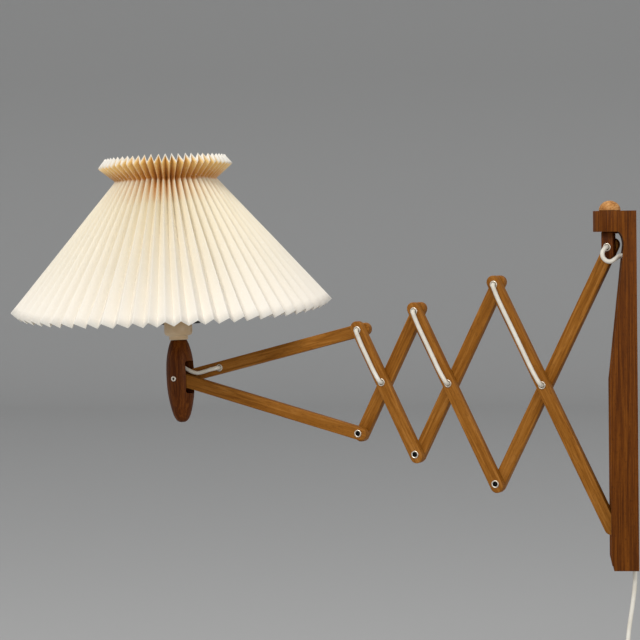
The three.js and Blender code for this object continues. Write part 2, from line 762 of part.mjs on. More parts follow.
function holderSkirt() {
  return turnedZ([
    [holderInner, skirtLow],
    [HOLDER_R, skirtLow],
    [HOLDER_R, SKIRT_FLANGE_Z],
    [SKIRT_FLANGE_R, SKIRT_FLANGE_Z],
    [SKIRT_FLANGE_R, SKIRT_FLANGE_Z + SKIRT_FLANGE_T],
    [HOLDER_R, SKIRT_FLANGE_Z + SKIRT_FLANGE_T],
    [HOLDER_R, SKIRT_TOP],
    [holderInner, SKIRT_TOP],
    [holderInner, skirtLow],
  ]);
}

function addLampholder() {
  const half = PUSH_SIZE / 2;
  const nutLow = capFloorZ + TOUCH_GAP;
  const nut = cut(
    turnedZ(rodProfile(NUT_R, nutLow, nutLow + NUT_T), NUT_SIDES),
    turnedZ(rodProfile(NIPPLE_R + TOUCH_GAP, nutLow - CUT_OVERRUN, nutLow + NUT_T + CUT_OVERRUN)),
  );
  const nipple = turnedZ(tubeProfile(NIPPLE_BORE_R, NIPPLE_R, NIPPLE_LOW, NIPPLE_HIGH), 2 * HOLE_SIDES);
  const insulatorTop = INSULATOR_LOW + INSULATOR_T;
  const insulatorR = holderInner - TOUCH_GAP;
  const insulator = tubeProfile(CONTACT_STEM_R + RUN_GAP, insulatorR, INSULATOR_LOW, insulatorTop);
  const contactBase = insulatorTop + TOUCH_GAP;
  const contact = turnedZ([
    [0, contactBase - CONTACT_DEEP],
    [CONTACT_STEM_R, contactBase - CONTACT_DEEP],
    [CONTACT_STEM_R, contactBase],
    [CONTACT_R, contactBase],
    [CONTACT_R, contactBase + CONTACT_HIGH / 2],
    [0, contactBase + CONTACT_HIGH],
  ], HOLE_SIDES);
  const ringLow = hubZ + WIRE_R + TOUCH_GAP;
  const ring = tubeProfile(HOLDER_R + TOUCH_GAP, RING_R, ringLow, ringLow + RING_HIGH);
  const socket = tubeProfile(SHELL_R - SHELL_WALL, SHELL_R, contactBase, SHELL_TOP);
  addPiece(head, 'threaded_nipple', nipple, 'brass');
  addPiece(head, 'nipple_nut', nut, 'brass');
  addPiece(head, 'holder_cap', holderCap(), 'cream');
  addPiece(head, 'push_bar', block([-PUSH_OUT, PUSH_IN], [-half, half], [PUSH_Z - half, PUSH_Z + half]), 'black');
  addPiece(head, 'socket_insulator', turnedZ(insulator), 'ceramic');
  addPiece(head, 'centre_contact', contact, 'brass');
  addPiece(head, 'screw_shell', turnedZ(socket), 'brass');
  addPiece(head, 'holder_skirt', holderSkirt(), 'cream');
  addPiece(head, 'shade_ring', turnedZ(ring), 'cream');
}

// Bulb: a glass shell, open at its neck, in a metal screw cap
function bulbProfile(shrink) {
  const radius = BULB_R - shrink;
  const neckR = BULB_NECK_R - shrink;
  const meet = Math.asin(Math.min(1, (2 * neckR) / radius / 1.25));
  const profile = [[neckR, BULB_NECK_LOW], [neckR, BULB_NECK_TOP]];
  for (let i = 0; i <= BULB_STEPS; i += 1) {
    const turn = Math.PI - meet - ((Math.PI - meet) * i) / BULB_STEPS;
    profile.push([radius * Math.sin(turn), BULB_CENTRE_Z + radius * Math.cos(turn)]);
  }
  profile[profile.length - 1][0] = 0;
  return profile;
}

function addBulb() {
  const inner = bulbProfile(GLASS_T).reverse();
  const glass = turnedZ([...inner, ...bulbProfile(0)], BULB_SIDES);
  const capTop = BULB_CAP_LOW + BULB_CAP_HIGH;
  const neckR = BULB_NECK_R + TOUCH_GAP;
  const seatZ = BULB_NECK_LOW - TOUCH_GAP;
  const cap = turnedZ([
    [0, BULB_CAP_LOW],
    [BULB_CAP_R / 3, BULB_CAP_LOW],
    [BULB_CAP_R / 2, BULB_CAP_LOW + BULB_CAP_R / 6],
    [BULB_CAP_R, BULB_CAP_LOW + BULB_CAP_R / 3],
    [BULB_CAP_R, capTop],
    [neckR, capTop],
    [neckR, seatZ],
    [0, seatZ],
  ]);
  addPiece(head, 'bulb_cap', cap, 'nickel');
  addPiece(head, 'bulb_glass', glass, 'glass');
}

// Shade: one pleated sheet. A point of it is given by its crease, its row and the side of the paper.
function pleatAt(radius) {
  const halfPitch = (Math.PI * radius) / PLEATS;
  const depth = Math.sqrt(PLEAT_WIDTH * PLEAT_WIDTH - halfPitch * halfPitch);
  const mitre = (PAPER_T / 2) * (PLEAT_WIDTH / halfPitch);
  return { depth, mitre };
}

function rimPoint(turn) {
  const slant = Math.hypot(RIM_R - WAIST_R, WAIST_Z - RIM_Z);
  const fromLongAxis = Math.abs(Math.sin(turn - rad(RIM_OVAL_TURN_DEG)));
  const radius = RIM_R - RIM_OVAL * fromLongAxis ** RIM_OVAL_POWER;
  const drop = Math.sqrt(slant * slant - (radius - WAIST_R) * (radius - WAIST_R));
  return [radius, WAIST_Z - drop];
}

function shadeRows(turn) {
  const [rimR, rimZ] = rimPoint(turn);
  const coneX = (WAIST_Z - rimZ) / Math.hypot(rimR - WAIST_R, WAIST_Z - rimZ);
  const coneZ = Math.sqrt(1 - coneX * coneX);
  const flare = Math.hypot(COLLAR_R - WAIST_R, COLLAR_Z - WAIST_Z);
  const collarX = (COLLAR_Z - WAIST_Z) / flare;
  const collarZ = -(COLLAR_R - WAIST_R) / flare;
  return [
    { r: rimR, z: rimZ, out: [coneX, coneZ] },
    { r: WAIST_R, z: WAIST_Z, out: [1, 0] },
    { r: COLLAR_R, z: COLLAR_Z, out: [collarX, collarZ] },
  ];
}

function shadePoint(crease, row, side) {
  const turn = (Math.PI * crease) / PLEATS;
  const { r, z, out } = shadeRows(turn)[row];
  const { depth, mitre } = pleatAt(r);
  const inward = (crease % 2 === 0 ? 0 : depth) - side * mitre;
  const radius = r - inward * out[0];
  return [radius * Math.cos(turn), radius * Math.sin(turn), z - inward * out[1]];
}

function shade() {
  const creases = 2 * PLEATS;
  const rows = 3;
  const places = [];
  for (const side of [1, -1]) {
    for (let row = 0; row < rows; row += 1) {
      for (let crease = 0; crease < creases; crease += 1) {
        places.push(...shadePoint(crease, row, side));
      }
    }
  }
  const at = (sheet, row, crease) => (sheet * rows + row) * creases + (crease % creases);
  const index = [];
  const quad = (a, b, c, d) => index.push(a, b, c, a, c, d);
  for (let crease = 0; crease < creases; crease += 1) {
    const next = crease + 1;
    for (let row = 0; row + 1 < rows; row += 1) {
      quad(at(0, row, crease), at(0, row, next), at(0, row + 1, next), at(0, row + 1, crease));
      quad(at(1, row, crease), at(1, row + 1, crease), at(1, row + 1, next), at(1, row, next));
    }
    quad(at(1, 0, crease), at(1, 0, next), at(0, 0, next), at(0, 0, crease));
    quad(at(0, rows - 1, crease), at(0, rows - 1, next), at(1, rows - 1, next), at(1, rows - 1, crease));
  }
  const geometry = new THREE.BufferGeometry();
  geometry.setAttribute('position', new THREE.Float32BufferAttribute(places, 3));
  geometry.setIndex(index);
  return geometry.translate(-SHADE_SHIFT, 0, 0);
}

// Wire carrier: a hub ring on the lampholder, spokes past the bulb and a ring inside the waist
function shadeCarrier() {
  const waist = pleatAt(WAIST_R);
  const ringR = WAIST_R - waist.depth - waist.mitre - TOUCH_GAP - WIRE_R;
  const wireSides = 6;
  const hub = new THREE.TorusGeometry(hubR, WIRE_R, wireSides, ROUND_SIDES).translate(0, 0, hubZ);
  const ring = new THREE.TorusGeometry(ringR, WIRE_R, wireSides, ROUND_SIDES);
  const pieces = [hub, ring.translate(-SHADE_SHIFT, 0, WAIST_Z)];
  for (let i = 0; i < SPOKES; i += 1) {
    const turn = (2 * Math.PI * i) / SPOKES;
    const at = (r, z, shift) => [r * Math.cos(turn) - shift, r * Math.sin(turn), z];
    const spoke = [
      at(hubR, hubZ, 0),
      at(RING_R + WIRE_R, hubZ, 0),
      at(RING_R + 3 * WIRE_R, hubZ + WIRE_R, 0),
      at((RING_R + SPOKE_ELBOW_R) / 2, (hubZ + SPOKE_ELBOW_Z) / 2, 0),
      at(SPOKE_ELBOW_R, SPOKE_ELBOW_Z, 0),
      at((ringR + SPOKE_ELBOW_R) / 2, (WAIST_Z + SPOKE_ELBOW_Z) / 2, SHADE_SHIFT / 2),
      at(ringR, WAIST_Z, SHADE_SHIFT),
    ];
    pieces.push(wireAlong(spoke, WIRE_R, wireSides));
  }
  return joined(...pieces);
}

// Cord along a bar's face, from the bore of one pivot to the bore of another further down the bar
function barCord(isFront, fromZ, toZ, fromY, toY, slack) {
  const out = isFront ? -1 : 1;
  const mouth = layerOuter + TOUCH_GAP + EYELET_FLANGE_T;
  const lying = layerOuter + CORD_LIFT + CORD_R;
  const crest = mouth + CORD_BEND;
  const way = Math.sign(toZ - fromZ);
  const middle = (fromZ + toZ) / 2;
  const bend = [
    [0, mouth],
    [CORD_BEND * (1 - Math.cos(Math.PI / 4)), mouth + CORD_BEND * Math.sin(Math.PI / 4)],
    [CORD_BEND, crest],
  ];
  const slide = 2 * EYELET_FLANGE_R;
  const points = [[0, out * fromY, fromZ]];
  for (const [along, high] of bend) {
    points.push([0, out * high, fromZ + way * along]);
  }
  points.push([-slack / 2, out * (crest + lying) / 2, fromZ + way * slide]);
  points.push([-slack, out * lying, fromZ + way * 2 * slide]);
  points.push([-slack, out * lying, middle]);
  points.push([-slack, out * lying, toZ - way * 2 * slide]);
  points.push([-slack / 2, out * (crest + lying) / 2, toZ - way * slide]);
  for (const [along, high] of bend.reverse()) {
    points.push([0, out * high, toZ - way * along]);
  }
  points.push([0, out * toY, toZ]);
  return cordAlong(points);
}

function addArmCords() {
  const meet = TOUCH_GAP / 2;
  for (let k = 1; k <= 3; k += 1) {
    const front = barCord(true, 0, -spans[k - 1], meet, meet, CORD_SLACK);
    placeBar(addPiece(arm, `cord_front_${k}`, front, 'cord'), endPivot(k, 1), barAngle - Math.PI / 2);
    const back = barCord(false, 0, -spans[k], meet, meet, 0);
    placeBar(addPiece(arm, `cord_back_${k}`, back, 'cord'), endPivot(k + 1, 1), Math.PI / 2 - barAngle);
  }
  const inside = (layerInner + layerOuter) / 2;
  const headBack = barCord(false, 0, -HEAD_BAR_SPAN + CORD_EYELET_INSET, meet, inside + meet, 0);
  placeBar(addPiece(arm, 'cord_head_bar', headBack, 'cord'), endPivot(1, 1), Math.PI / 2 - headBarAngle);
}

// Cord from the head bar's eyelet to the slot of the spindle: distances from the rivet along the bar,
// across its layers and square to it
const spindleCordRoute = [
  [54.5, 4.8, 0], [54.5, 1.4, 0], [53.9, -1.8, 0.1], [51.8, -4.1, 0.2], [48.3, -4.6, 0.3],
  [43.9, -3.6, 0.4], [38.2, -2.8, 0.1], [30.9, -2.7, -0.1], [24.9, -2.7, 0.6], [19.8, -2.7, 3],
  [15.5, -2.7, 6], [11.7, -2.7, 9], [8.3, -2.2, 11.9], [6, -1.2, 14.8], [5.2, -0.4, 17.7],
];

// Cord inside the head, from the slot up through the nipple and past the push bar
const holderCordRoute = [
  [0, 0, 19.2], [0, 0, 32], [0, 0, 46], [0, 0, 57.6], [0, 0.7, 60.1], [0, 2.3, 61.7], [0, 4.6, 62.4],
  [0, 7, 63.5], [0, 8.5, 66.2], [0, 8.9, 69.6], [0, 8.9, 75.6],
];

// Cord in front of the tongue, curling under it to the hole in the wall bar
const loopRoute = [
  [-28.06, -0.14, 158], [-31.3, -8.2, 158], [-32.4, -11, 158], [-34, -13.6, 157], [-36, -15.6, 154.4],
  [-37.2, -16.8, 150.8], [-36.2, -17.4, 146.4], [-32.6, -17.4, 142.9], [-28.3, -16.6, 142.1],
  [-24, -14.6, 144.2], [-20.2, -11.5, 147], [-16.8, -9.4, 148.3], [-13.4, -9, 148.5], [-10.6, -9, 148.5],
];

// Cord from that hole down the groove in the back of the wall bar
const grooveRoute = [
  [-10.3, -9, 148.5], [-8.2, -9, 148.6], [-5.9, -9, 148.1], [-4.4, -9, 146.2], [-3.9, -9, 143],
  [-3.9, -9, 138], [-3.9, -9, 60], [-3.9, -9, -60], [-3.9, -9, -180], [-3.9, -9, -198],
];

// The mains cord, free from the foot of the wall bar to the hank
const mainsRoute = [
  [-3.9, -9, -198.3], [-3.9, -9, -208], [-4.7, -9.6, -220], [-6.6, -11.5, -234], [-9.1, -14.6, -249],
  [-11.6, -18.6, -264], [-13.3, -23, -279], [-14.1, -27, -293], [-14.2, -30.3, -307], [-13.9, -32.1, -320],
  [-13.6, -32.76, -332], [-13.6, -32.76, -344],
];

function addRoutedCords() {
  placeBar(addPiece(arm, 'cord_at_spindle', cordAlong(spindleCordRoute), 'cord'), rivetPlace, -headBarAngle);
  addPiece(head, 'cord_in_spindle', cordAlong(holderCordRoute), 'cord');
  addPiece(lamp, 'cord_loop', cordAlong(loopRoute), 'cord');
  addPiece(lamp, 'cord_in_wall_bar', cordAlong(grooveRoute), 'cord');
  addPiece(lamp, 'mains_cord', cordAlong(mainsRoute), 'cord');
}

// Hank: the loops spiral in, climb one layer along a run, and spiral out again
const hankStart = new THREE.Vector3(...mainsRoute[mainsRoute.length - 1]);
const hankMidTurn = HANK_LOOPS / 2;
const hankOuterR = HANK_FOLD_R + hankMidTurn * HANK_STEP;
const hankCentreY = hankStart.y + hankOuterR;
const hankTopZ = hankStart.z - TOUCH_GAP - HANK_LEAD;

function hankPoint(turns) {
  const half = HANK_FOLD_R + Math.abs(turns - hankMidTurn) * HANK_STEP;
  const climb = THREE.MathUtils.smoothstep(turns, HANK_CLIMB_START, HANK_CLIMB_START + HANK_RUN_SHARE);
  const x = hankStart.x + climb * HANK_LAYER_STEP;
  const phase = turns - Math.floor(turns);
  const isDown = phase < 0.5;
  const share = (isDown ? phase : phase - 0.5) / HANK_RUN_SHARE;
  const way = isDown ? -1 : 1;
  const place = new THREE.Vector3(x, 0, 0);
  if (share <= 1) {
    const drawn = (HANK_DRAW * (1 - Math.cos(2 * Math.PI * share))) / 2;
    place.y = way * (half - drawn);
    place.z = way * (share - 0.5) * HANK_RUN;
  } else {
    const foldShare = (share - 1) / (0.5 / HANK_RUN_SHARE - 1);
    place.y = way * half * Math.cos(Math.PI * foldShare);
    place.z = way * (HANK_RUN / 2 + half * Math.sin(Math.PI * foldShare));
  }
  place.y += hankCentreY;
  place.z += hankTopZ - HANK_RUN / 2;
  return place;
}

function hankCentreLine(perLoop) {
  const steps = Math.round(HANK_LOOPS * perLoop);
  const line = [];
  for (let i = 0; i <= steps; i += 1) {
    line.push(hankPoint((HANK_LOOPS * i) / steps));
  }
  line.unshift(line[0].clone().setZ(line[0].z + HANK_LEAD));
  line.push(line[line.length - 1].clone().setZ(line[line.length - 1].z - HANK_TAIL));
  return line;
}

// A tube of rings about a line of points, each ring carried on from the last without twist
function tubeAbout(line, radius, sides) {
  const places = [];
  const index = [];
  let across = new THREE.Vector3(1, 0, 0);
  line.forEach((point, i) => {
    const before = line[Math.max(0, i - 1)];
    const after = line[Math.min(line.length - 1, i + 1)];
    const along = after.clone().sub(before).normalize();
    across = across.clone().addScaledVector(along, -across.dot(along)).normalize();
    const other = along.clone().cross(across);
    for (let n = 0; n < sides; n += 1) {
      const turn = (2 * Math.PI * n) / sides;
      const spot = point.clone().addScaledVector(across, radius * Math.cos(turn));
      spot.addScaledVector(other, radius * Math.sin(turn));
      places.push(spot.x, spot.y, spot.z);
    }
  });
  const last = (line.length - 1) * sides;
  for (let i = 0; i < last; i += sides) {
    for (let n = 0; n < sides; n += 1) {
      const next = (n + 1) % sides;
      index.push(i + n, i + next, i + sides + next, i + n, i + sides + next, i + sides + n);
    }
  }
  for (let n = 1; n + 1 < sides; n += 1) {
    index.push(0, n + 1, n, last, last + n, last + n + 1);
  }
  const geometry = new THREE.BufferGeometry();
  geometry.setAttribute('position', new THREE.Float32BufferAttribute(places, 3));
  geometry.setIndex(index);
  return geometry;
}

// Least gap of the hank to itself, between points that are over half a loop apart along the cord
function hankLeastGap() {
  const perLoop = 8 * HANK_STEPS_PER_LOOP;
  const line = hankCentreLine(perLoop);
  let least = Infinity;
  for (let i = 0; i < line.length; i += 1) {
    for (let j = i + perLoop / 4; j < line.length; j += 1) {
      least = Math.min(least, line[i].distanceTo(line[j]));
    }
  }
  return least - 2 * CORD_R;
}

function lineLength(line) {
  return line.reduce((sum, point, i) => (i ? sum + point.distanceTo(line[i - 1]) : 0), 0);
}

// Plug: a flat moulded body with a narrow neck for the cord and two round pins
function addHankAndPlug() {
  const line = hankCentreLine(HANK_STEPS_PER_LOOP);
  addPiece(lamp, 'cord_hank', tubeAbout(line, CORD_R, HANK_SIDES), 'cord');
  const end = line[line.length - 1];
  const tieInY = hankOuterR - HANK_DRAW + CORD_R + 3 * TOUCH_GAP;
  const tieInX = HANK_LAYER_STEP / 2 + CORD_R + TOUCH_GAP;
  const outer = roundedBox(tieInX + TIE_T, -tieInY - TIE_T, tieInY + TIE_T, CORD_R + TIE_T);
  const inner = roundedBox(tieInX, -tieInY, tieInY, CORD_R);
  const tie = cut(raised(outer, 0, TIE_HIGH), raised(inner, -CUT_OVERRUN, TIE_HIGH + CUT_OVERRUN));
  tie.translate(hankStart.x + HANK_LAYER_STEP / 2, hankCentreY, hankTopZ - (HANK_RUN + TIE_HIGH) / 2);
  addPiece(lamp, 'hank_tie', tie, 'tie');

  const top = end.z - TOUCH_GAP;
  const low = top - PLUG_LENGTH;
  const half = PLUG_WIDTH / 2;
  const neck = PLUG_NECK_WIDTH / 2;
  const wideZ = low + PLUG_NOSE_SHARE * PLUG_LENGTH;
  const outline = polygon([
    [neck, top],
    [-neck, top],
    [-half, wideZ],
    [-half, low + PLUG_CORNER],
    [-half + PLUG_CORNER, low],
    [half - PLUG_CORNER, low],
    [half, low + PLUG_CORNER],
    [half, wideZ],
  ]);
  const blank = slab(outline, -PLUG_THICK / 2, PLUG_THICK / 2).rotateZ(Math.PI / 2).translate(end.x, end.y, 0);
  const sockets = [];
  for (const [name, side] of [['plug_pin_near', -1], ['plug_pin_far', 1]]) {
    const y = end.y + (side * PIN_SPACING) / 2;
    const socket = rodProfile(PIN_R + RUN_GAP, low - CUT_OVERRUN, low + PIN_SEAT);
    sockets.push(turnedZ(socket, HOLE_SIDES).translate(end.x, y, 0));
    const pin = rodProfile(PIN_R, low - PIN_LENGTH, low + PIN_SEAT - TOUCH_GAP);
    addPiece(lamp, name, turnedZ(pin, HOLE_SIDES).translate(end.x, y, 0), 'brass');
  }
  addPiece(lamp, 'plug_body', cut(blank, ...sockets), 'cord');
}

addPiece(lamp, 'wall_bar', wallBar(), 'oakWall');
addHanger();
addPiece(arm, 'swivel_post', swivelPost(), 'oakDark');
addPiece(arm, 'swivel_knob', swivelKnob(), 'oakPale');
addArmBars();
addHeadBars();
addEyelets();
addPiece(head, 'spindle', spindle(), 'oakDark');
addLampholder();
addBulb();
addPiece(head, 'shade_carrier', shadeCarrier(), 'steel');
addPiece(head, 'shade', shade(), 'paper');
addArmCords();
addRoutedCords();
addHankAndPlug();

const leastGap = hankLeastGap();
const freeLength = smoothPath(mainsRoute).getLength() + lineLength(hankCentreLine(8 * HANK_STEPS_PER_LOOP));
console.log(`hank: least gap to itself ${leastGap.toFixed(2)} mm, wanted over ${HANK_MIN_GAP} mm`);
console.log(`free cord: ${freeLength.toFixed(0)} mm from the wall bar to the plug`);

export default lamp;
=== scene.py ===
"""Looks of the accordion wall lamp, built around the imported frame. Lengths are in metres."""

import logging
import math
from dataclasses import dataclass, field
from enum import Enum
from typing import Callable, Iterable, Sequence

import bmesh
import bpy
from mathutils import Matrix, Vector, noise


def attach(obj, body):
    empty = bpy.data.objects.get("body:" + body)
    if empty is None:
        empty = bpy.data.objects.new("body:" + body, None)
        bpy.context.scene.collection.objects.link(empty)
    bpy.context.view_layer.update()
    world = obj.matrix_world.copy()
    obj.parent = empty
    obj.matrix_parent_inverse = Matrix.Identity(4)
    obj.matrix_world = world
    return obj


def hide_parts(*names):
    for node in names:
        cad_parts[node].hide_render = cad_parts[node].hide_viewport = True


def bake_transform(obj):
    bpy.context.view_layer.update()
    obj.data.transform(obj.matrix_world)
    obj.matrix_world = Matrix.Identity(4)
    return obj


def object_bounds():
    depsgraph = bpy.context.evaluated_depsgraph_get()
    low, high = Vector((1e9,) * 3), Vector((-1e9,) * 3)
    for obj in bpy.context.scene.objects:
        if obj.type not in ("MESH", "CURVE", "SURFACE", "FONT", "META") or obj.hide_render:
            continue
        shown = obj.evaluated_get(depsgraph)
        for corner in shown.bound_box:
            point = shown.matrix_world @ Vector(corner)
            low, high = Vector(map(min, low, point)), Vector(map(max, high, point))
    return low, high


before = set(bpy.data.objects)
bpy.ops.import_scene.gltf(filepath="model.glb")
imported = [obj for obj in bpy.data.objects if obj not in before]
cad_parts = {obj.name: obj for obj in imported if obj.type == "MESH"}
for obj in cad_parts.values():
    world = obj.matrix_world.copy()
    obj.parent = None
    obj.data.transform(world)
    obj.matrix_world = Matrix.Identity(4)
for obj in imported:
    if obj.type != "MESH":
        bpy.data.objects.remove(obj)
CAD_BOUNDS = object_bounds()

log = logging.getLogger("wall_lamp")

MM = 0.001
MERGE = 1e-6  # Corners that are closer than this become one
TUBE_ANGLE = 60.0  # Cords look sharp only at their cut ends
CORD_RADIUS = 2.45 * MM
CORD_GAP = 0.3 * MM  # Air between the cord's end and what it meets
SPLINE_SPANS = ((0, 1), (1, 2), (2, 3), (0, 2), (1, 3))
Colour = tuple[float, float, float]
Point = tuple[float, float, float]
Outline = list[tuple[float, float]]
Profile = Sequence[tuple[float, float]]
Shape = bmesh.types.BMesh
Socket = bpy.types.NodeSocket


class Layer(Enum):
    """The two layers of bars: the front one is nearer to the camera."""

    FRONT = -1
    BACK = 1


class Side(Enum):
    """Whether a pivot lies above or below the line of the crossings."""

    TOP = 1
    BOTTOM = -1


# Material building


class Graph:
    """A material's node tree, with short calls to add and join nodes."""

    def __init__(self, name: str) -> None:
        """Start an empty material.

        Args:
            name: The material's name.
        """
        self.material = bpy.data.materials.new(name)
        self.material.use_nodes = True
        self.tree = self.material.node_tree
        self.tree.nodes.clear()
        self.shader = self.add("ShaderNodeBsdfPrincipled")
        self.output = self.add("ShaderNodeOutputMaterial")
        self.join(self.shader.outputs["BSDF"], self.output.inputs["Surface"])

    def add(self, kind: str, **settings: object) -> bpy.types.Node:
        """Add a node and set its properties.

        Args:
            kind: The node's type.
            **settings: Properties of the node by name.

        Returns:
            The new node.
        """
        node = self.tree.nodes.new(kind)
        for name, value in settings.items():
            setattr(node, name, value)
        return node

    def join(self, source: Socket, target: Socket) -> None:
        """Link one socket to another."""
        self.tree.links.new(source, target)

    def plain(self, **values: object) -> None:
        """Set sockets of the shader, with spaces in their names written as underscores."""
        for name, value in values.items():
            self.shader.inputs[name.replace("_", " ")].default_value = value

    def place(self, seat: Matrix, grain: Point) -> Socket:
        """Object coordinates seen from a piece's own axes and divided by a grain size.

        Args:
            seat: The piece's own axes in the frame.
            grain: Size of the pattern along those axes.

        Returns:
            The vector socket.
        """
        coordinates = self.add("ShaderNodeTexCoord")
        mapping = self.add("ShaderNodeMapping", vector_type="TEXTURE")
        mapping.inputs["Location"].default_value = seat.to_translation()
        mapping.inputs["Rotation"].default_value = seat.to_euler()
        mapping.inputs["Scale"].default_value = grain
        self.join(coordinates.outputs["Object"], mapping.inputs["Vector"])
        return mapping.outputs["Vector"]

    def noise(
        self, vector: Socket, detail: float = 3.0, distortion: float = 0.0
    ) -> Socket:
        """A noise pattern about one unit across.

        Args:
            vector: Where the pattern is read.
            detail: How many finer layers it has.
            distortion: How far it is drawn out of shape.

        Returns:
            The value socket, around 0.5.
        """
        node = self.add("ShaderNodeTexNoise")
        node.inputs["Scale"].default_value = 1.0
        node.inputs["Detail"].default_value = detail
        node.inputs["Distortion"].default_value = distortion
        self.join(vector, node.inputs["Vector"])
        return node.outputs["Fac"]

    def grain(
        self, seat: Matrix, size: float | Point, detail: float = 3.0, distortion: float = 0.0
    ) -> Socket:
        """A noise pattern that lies along a piece's own axes.

        Args:
            seat: The piece's own axes in the frame.
            size: Size of the pattern, one number or one for each axis.
            detail: How many finer layers it has.
            distortion: How far it is drawn out of shape.

        Returns:
            The value socket, around 0.5.
        """
        sizes = size if isinstance(size, tuple) else (size,) * 3
        return self.noise(self.place(seat, sizes), detail, distortion)

    def drive(self, name: str, source: Socket) -> None:
        """Link a socket to one of the shader's own."""
        self.join(source, self.shader.inputs[name])

    def ramp(
        self, value: Socket, stops: Sequence[tuple[float, Colour]]
    ) -> Socket:
        """Colours picked along a value.

        Args:
            value: What picks the colour.
            stops: Place and colour of each stop.

        Returns:
            The colour socket.
        """
        node = self.add("ShaderNodeValToRGB")
        stop_list = node.color_ramp.elements
        while len(stop_list) < len(stops):
            stop_list.new(0.5)
        for element, (place, colour) in zip(stop_list, stops):
            element.position = place
            element.color = (*colour, 1.0)
        self.join(value, node.inputs["Fac"])
        return node.outputs["Color"]

    def span(
        self, value: Socket, low: float, high: float, to_low: float, to_high: float
    ) -> Socket:
        """A value moved from one range to another and held inside it.

        Args:
            value: The value.
            low: Start of the range it comes from.
            high: End of the range it comes from.
            to_low: Start of the range it goes to.
            to_high: End of the range it goes to.

        Returns:
            The new value socket.
        """
        node = self.add("ShaderNodeMapRange")
        for name, number in zip(
            ("From Min", "From Max", "To Min", "To Max"), (low, high, to_low, to_high)
        ):
            node.inputs[name].default_value = number
        self.join(value, node.inputs["Value"])
        return node.outputs["Result"]

    def math(
        self, operation: str, first: Socket, second: Socket | float
    ) -> Socket:
        """One sum of two values.

        Args:
            operation: The node's operation.
            first: The first value.
            second: The second value, a socket or a number.

        Returns:
            The result socket.
        """
        node = self.add("ShaderNodeMath", operation=operation)
        self.join(first, node.inputs[0])
        if isinstance(second, (int, float)):
            node.inputs[1].default_value = second
        else:
            self.join(second, node.inputs[1])
        return node.outputs["Value"]

    def mix(
        self,
        share: Socket,
        first: Socket | Colour,
        second: Socket | Colour,
        blend: str = "MIX",
    ) -> Socket:
        """Two colours mixed by a share.

        Args:
            share: How much of the second colour shows.
            first: The first colour.
            second: The second colour.
            blend: How they mix.

        Returns:
            The colour socket.
        """
        node = self.add("ShaderNodeMix", data_type="RGBA", blend_type=blend)
        self.join(share, node.inputs[0])
        for socket, colour in ((node.inputs[6], first), (node.inputs[7], second)):
            if isinstance(colour, tuple):
                socket.default_value = (*colour, 1.0)
            else:
                self.join(colour, socket)
        return node.outputs[2]

    def attribute(self, name: str) -> Socket:
        """The value of a mesh's own attribute."""
        node = self.add("ShaderNodeAttribute", attribute_name=name)
        return node.outputs["Fac"]

    def bump(self, height: Socket, distance: float, strength: float) -> None:
        """Raise the shader's surface by a height.

        Args:
            height: The height, around one unit.
            distance: How far one unit stands out.
            strength: How strongly it shows.
        """
        node = self.add("ShaderNodeBump")
        node.inputs["Distance"].default_value = distance
        node.inputs["Strength"].default_value = strength
        self.join(height, node.inputs["Height"])
        self.drive("Normal", node.outputs["Normal"])


@dataclass(frozen=True)
class Finish:
    """How a surface looks. Each kind paints its own graph.

    Attributes:
        slot: The material slot's name; it is not used.
    """

    slot: str

    def paint(self, graph: Graph, seat: Matrix) -> None:
        """Add the nodes of this kind of surface.

        Args:
            graph: The material's nodes.
            seat: The piece's own axes.
        """
        raise NotImplementedError

    def material(self, name: str, seat: Matrix) -> bpy.types.Material:
        """Build the material for one piece.

        Args:
            name: The material's name.
            seat: The piece's own axes.

        Returns:
            The material.
        """
        graph = Graph(name)
        self.paint(graph, seat)
        return graph.material


@dataclass(frozen=True)
class WoodFinish(Finish):
    """Oiled or polished wood with its grain along a piece's own Z axis."""

    dark: Colour
    middle: Colour
    light: Colour
    pore: Colour
    roughness: float = 0.5
    figure: Point = (0.0045, 0.0045, 0.085)
    fibre: Point = (0.00055, 0.00055, 0.016)
    pores: Point = (0.0005, 0.0005, 0.0048)
    pore_share: float = 0.55
    coat: float = 0.0
    shine: float = 0.1

    def paint(self, graph: Graph, seat: Matrix) -> None:
        """Paint the wood, with the grain along the seat's Z."""
        figure = graph.grain(seat, self.figure, 2.0, 1.3)
        fibre = graph.grain(seat, self.fibre, 4.0, 0.2)
        broad, fine = graph.math("MULTIPLY", figure, 0.68), graph.math("MULTIPLY", fibre, 0.32)
        tone = graph.math("ADD", broad, fine)
        stops = [(0.36, self.dark), (0.5, self.middle), (0.64, self.light)]
        pores = graph.grain(seat, self.pores, 2.0)
        share = graph.span(pores, 0.58, 0.7, 0.0, self.pore_share)
        colour = graph.mix(share, graph.ramp(tone, stops), self.pore)
        graph.drive("Base Color", colour)
        rough = graph.span(fibre, 0.3, 0.7, self.roughness - 0.07, self.roughness + 0.1)
        graph.drive("Roughness", rough)
        graph.bump(graph.math("SUBTRACT", fibre, share), 0.00012, 0.5)
        graph.plain(Coat_Weight=self.coat, Coat_Roughness=0.3, Specular_IOR_Level=self.shine)


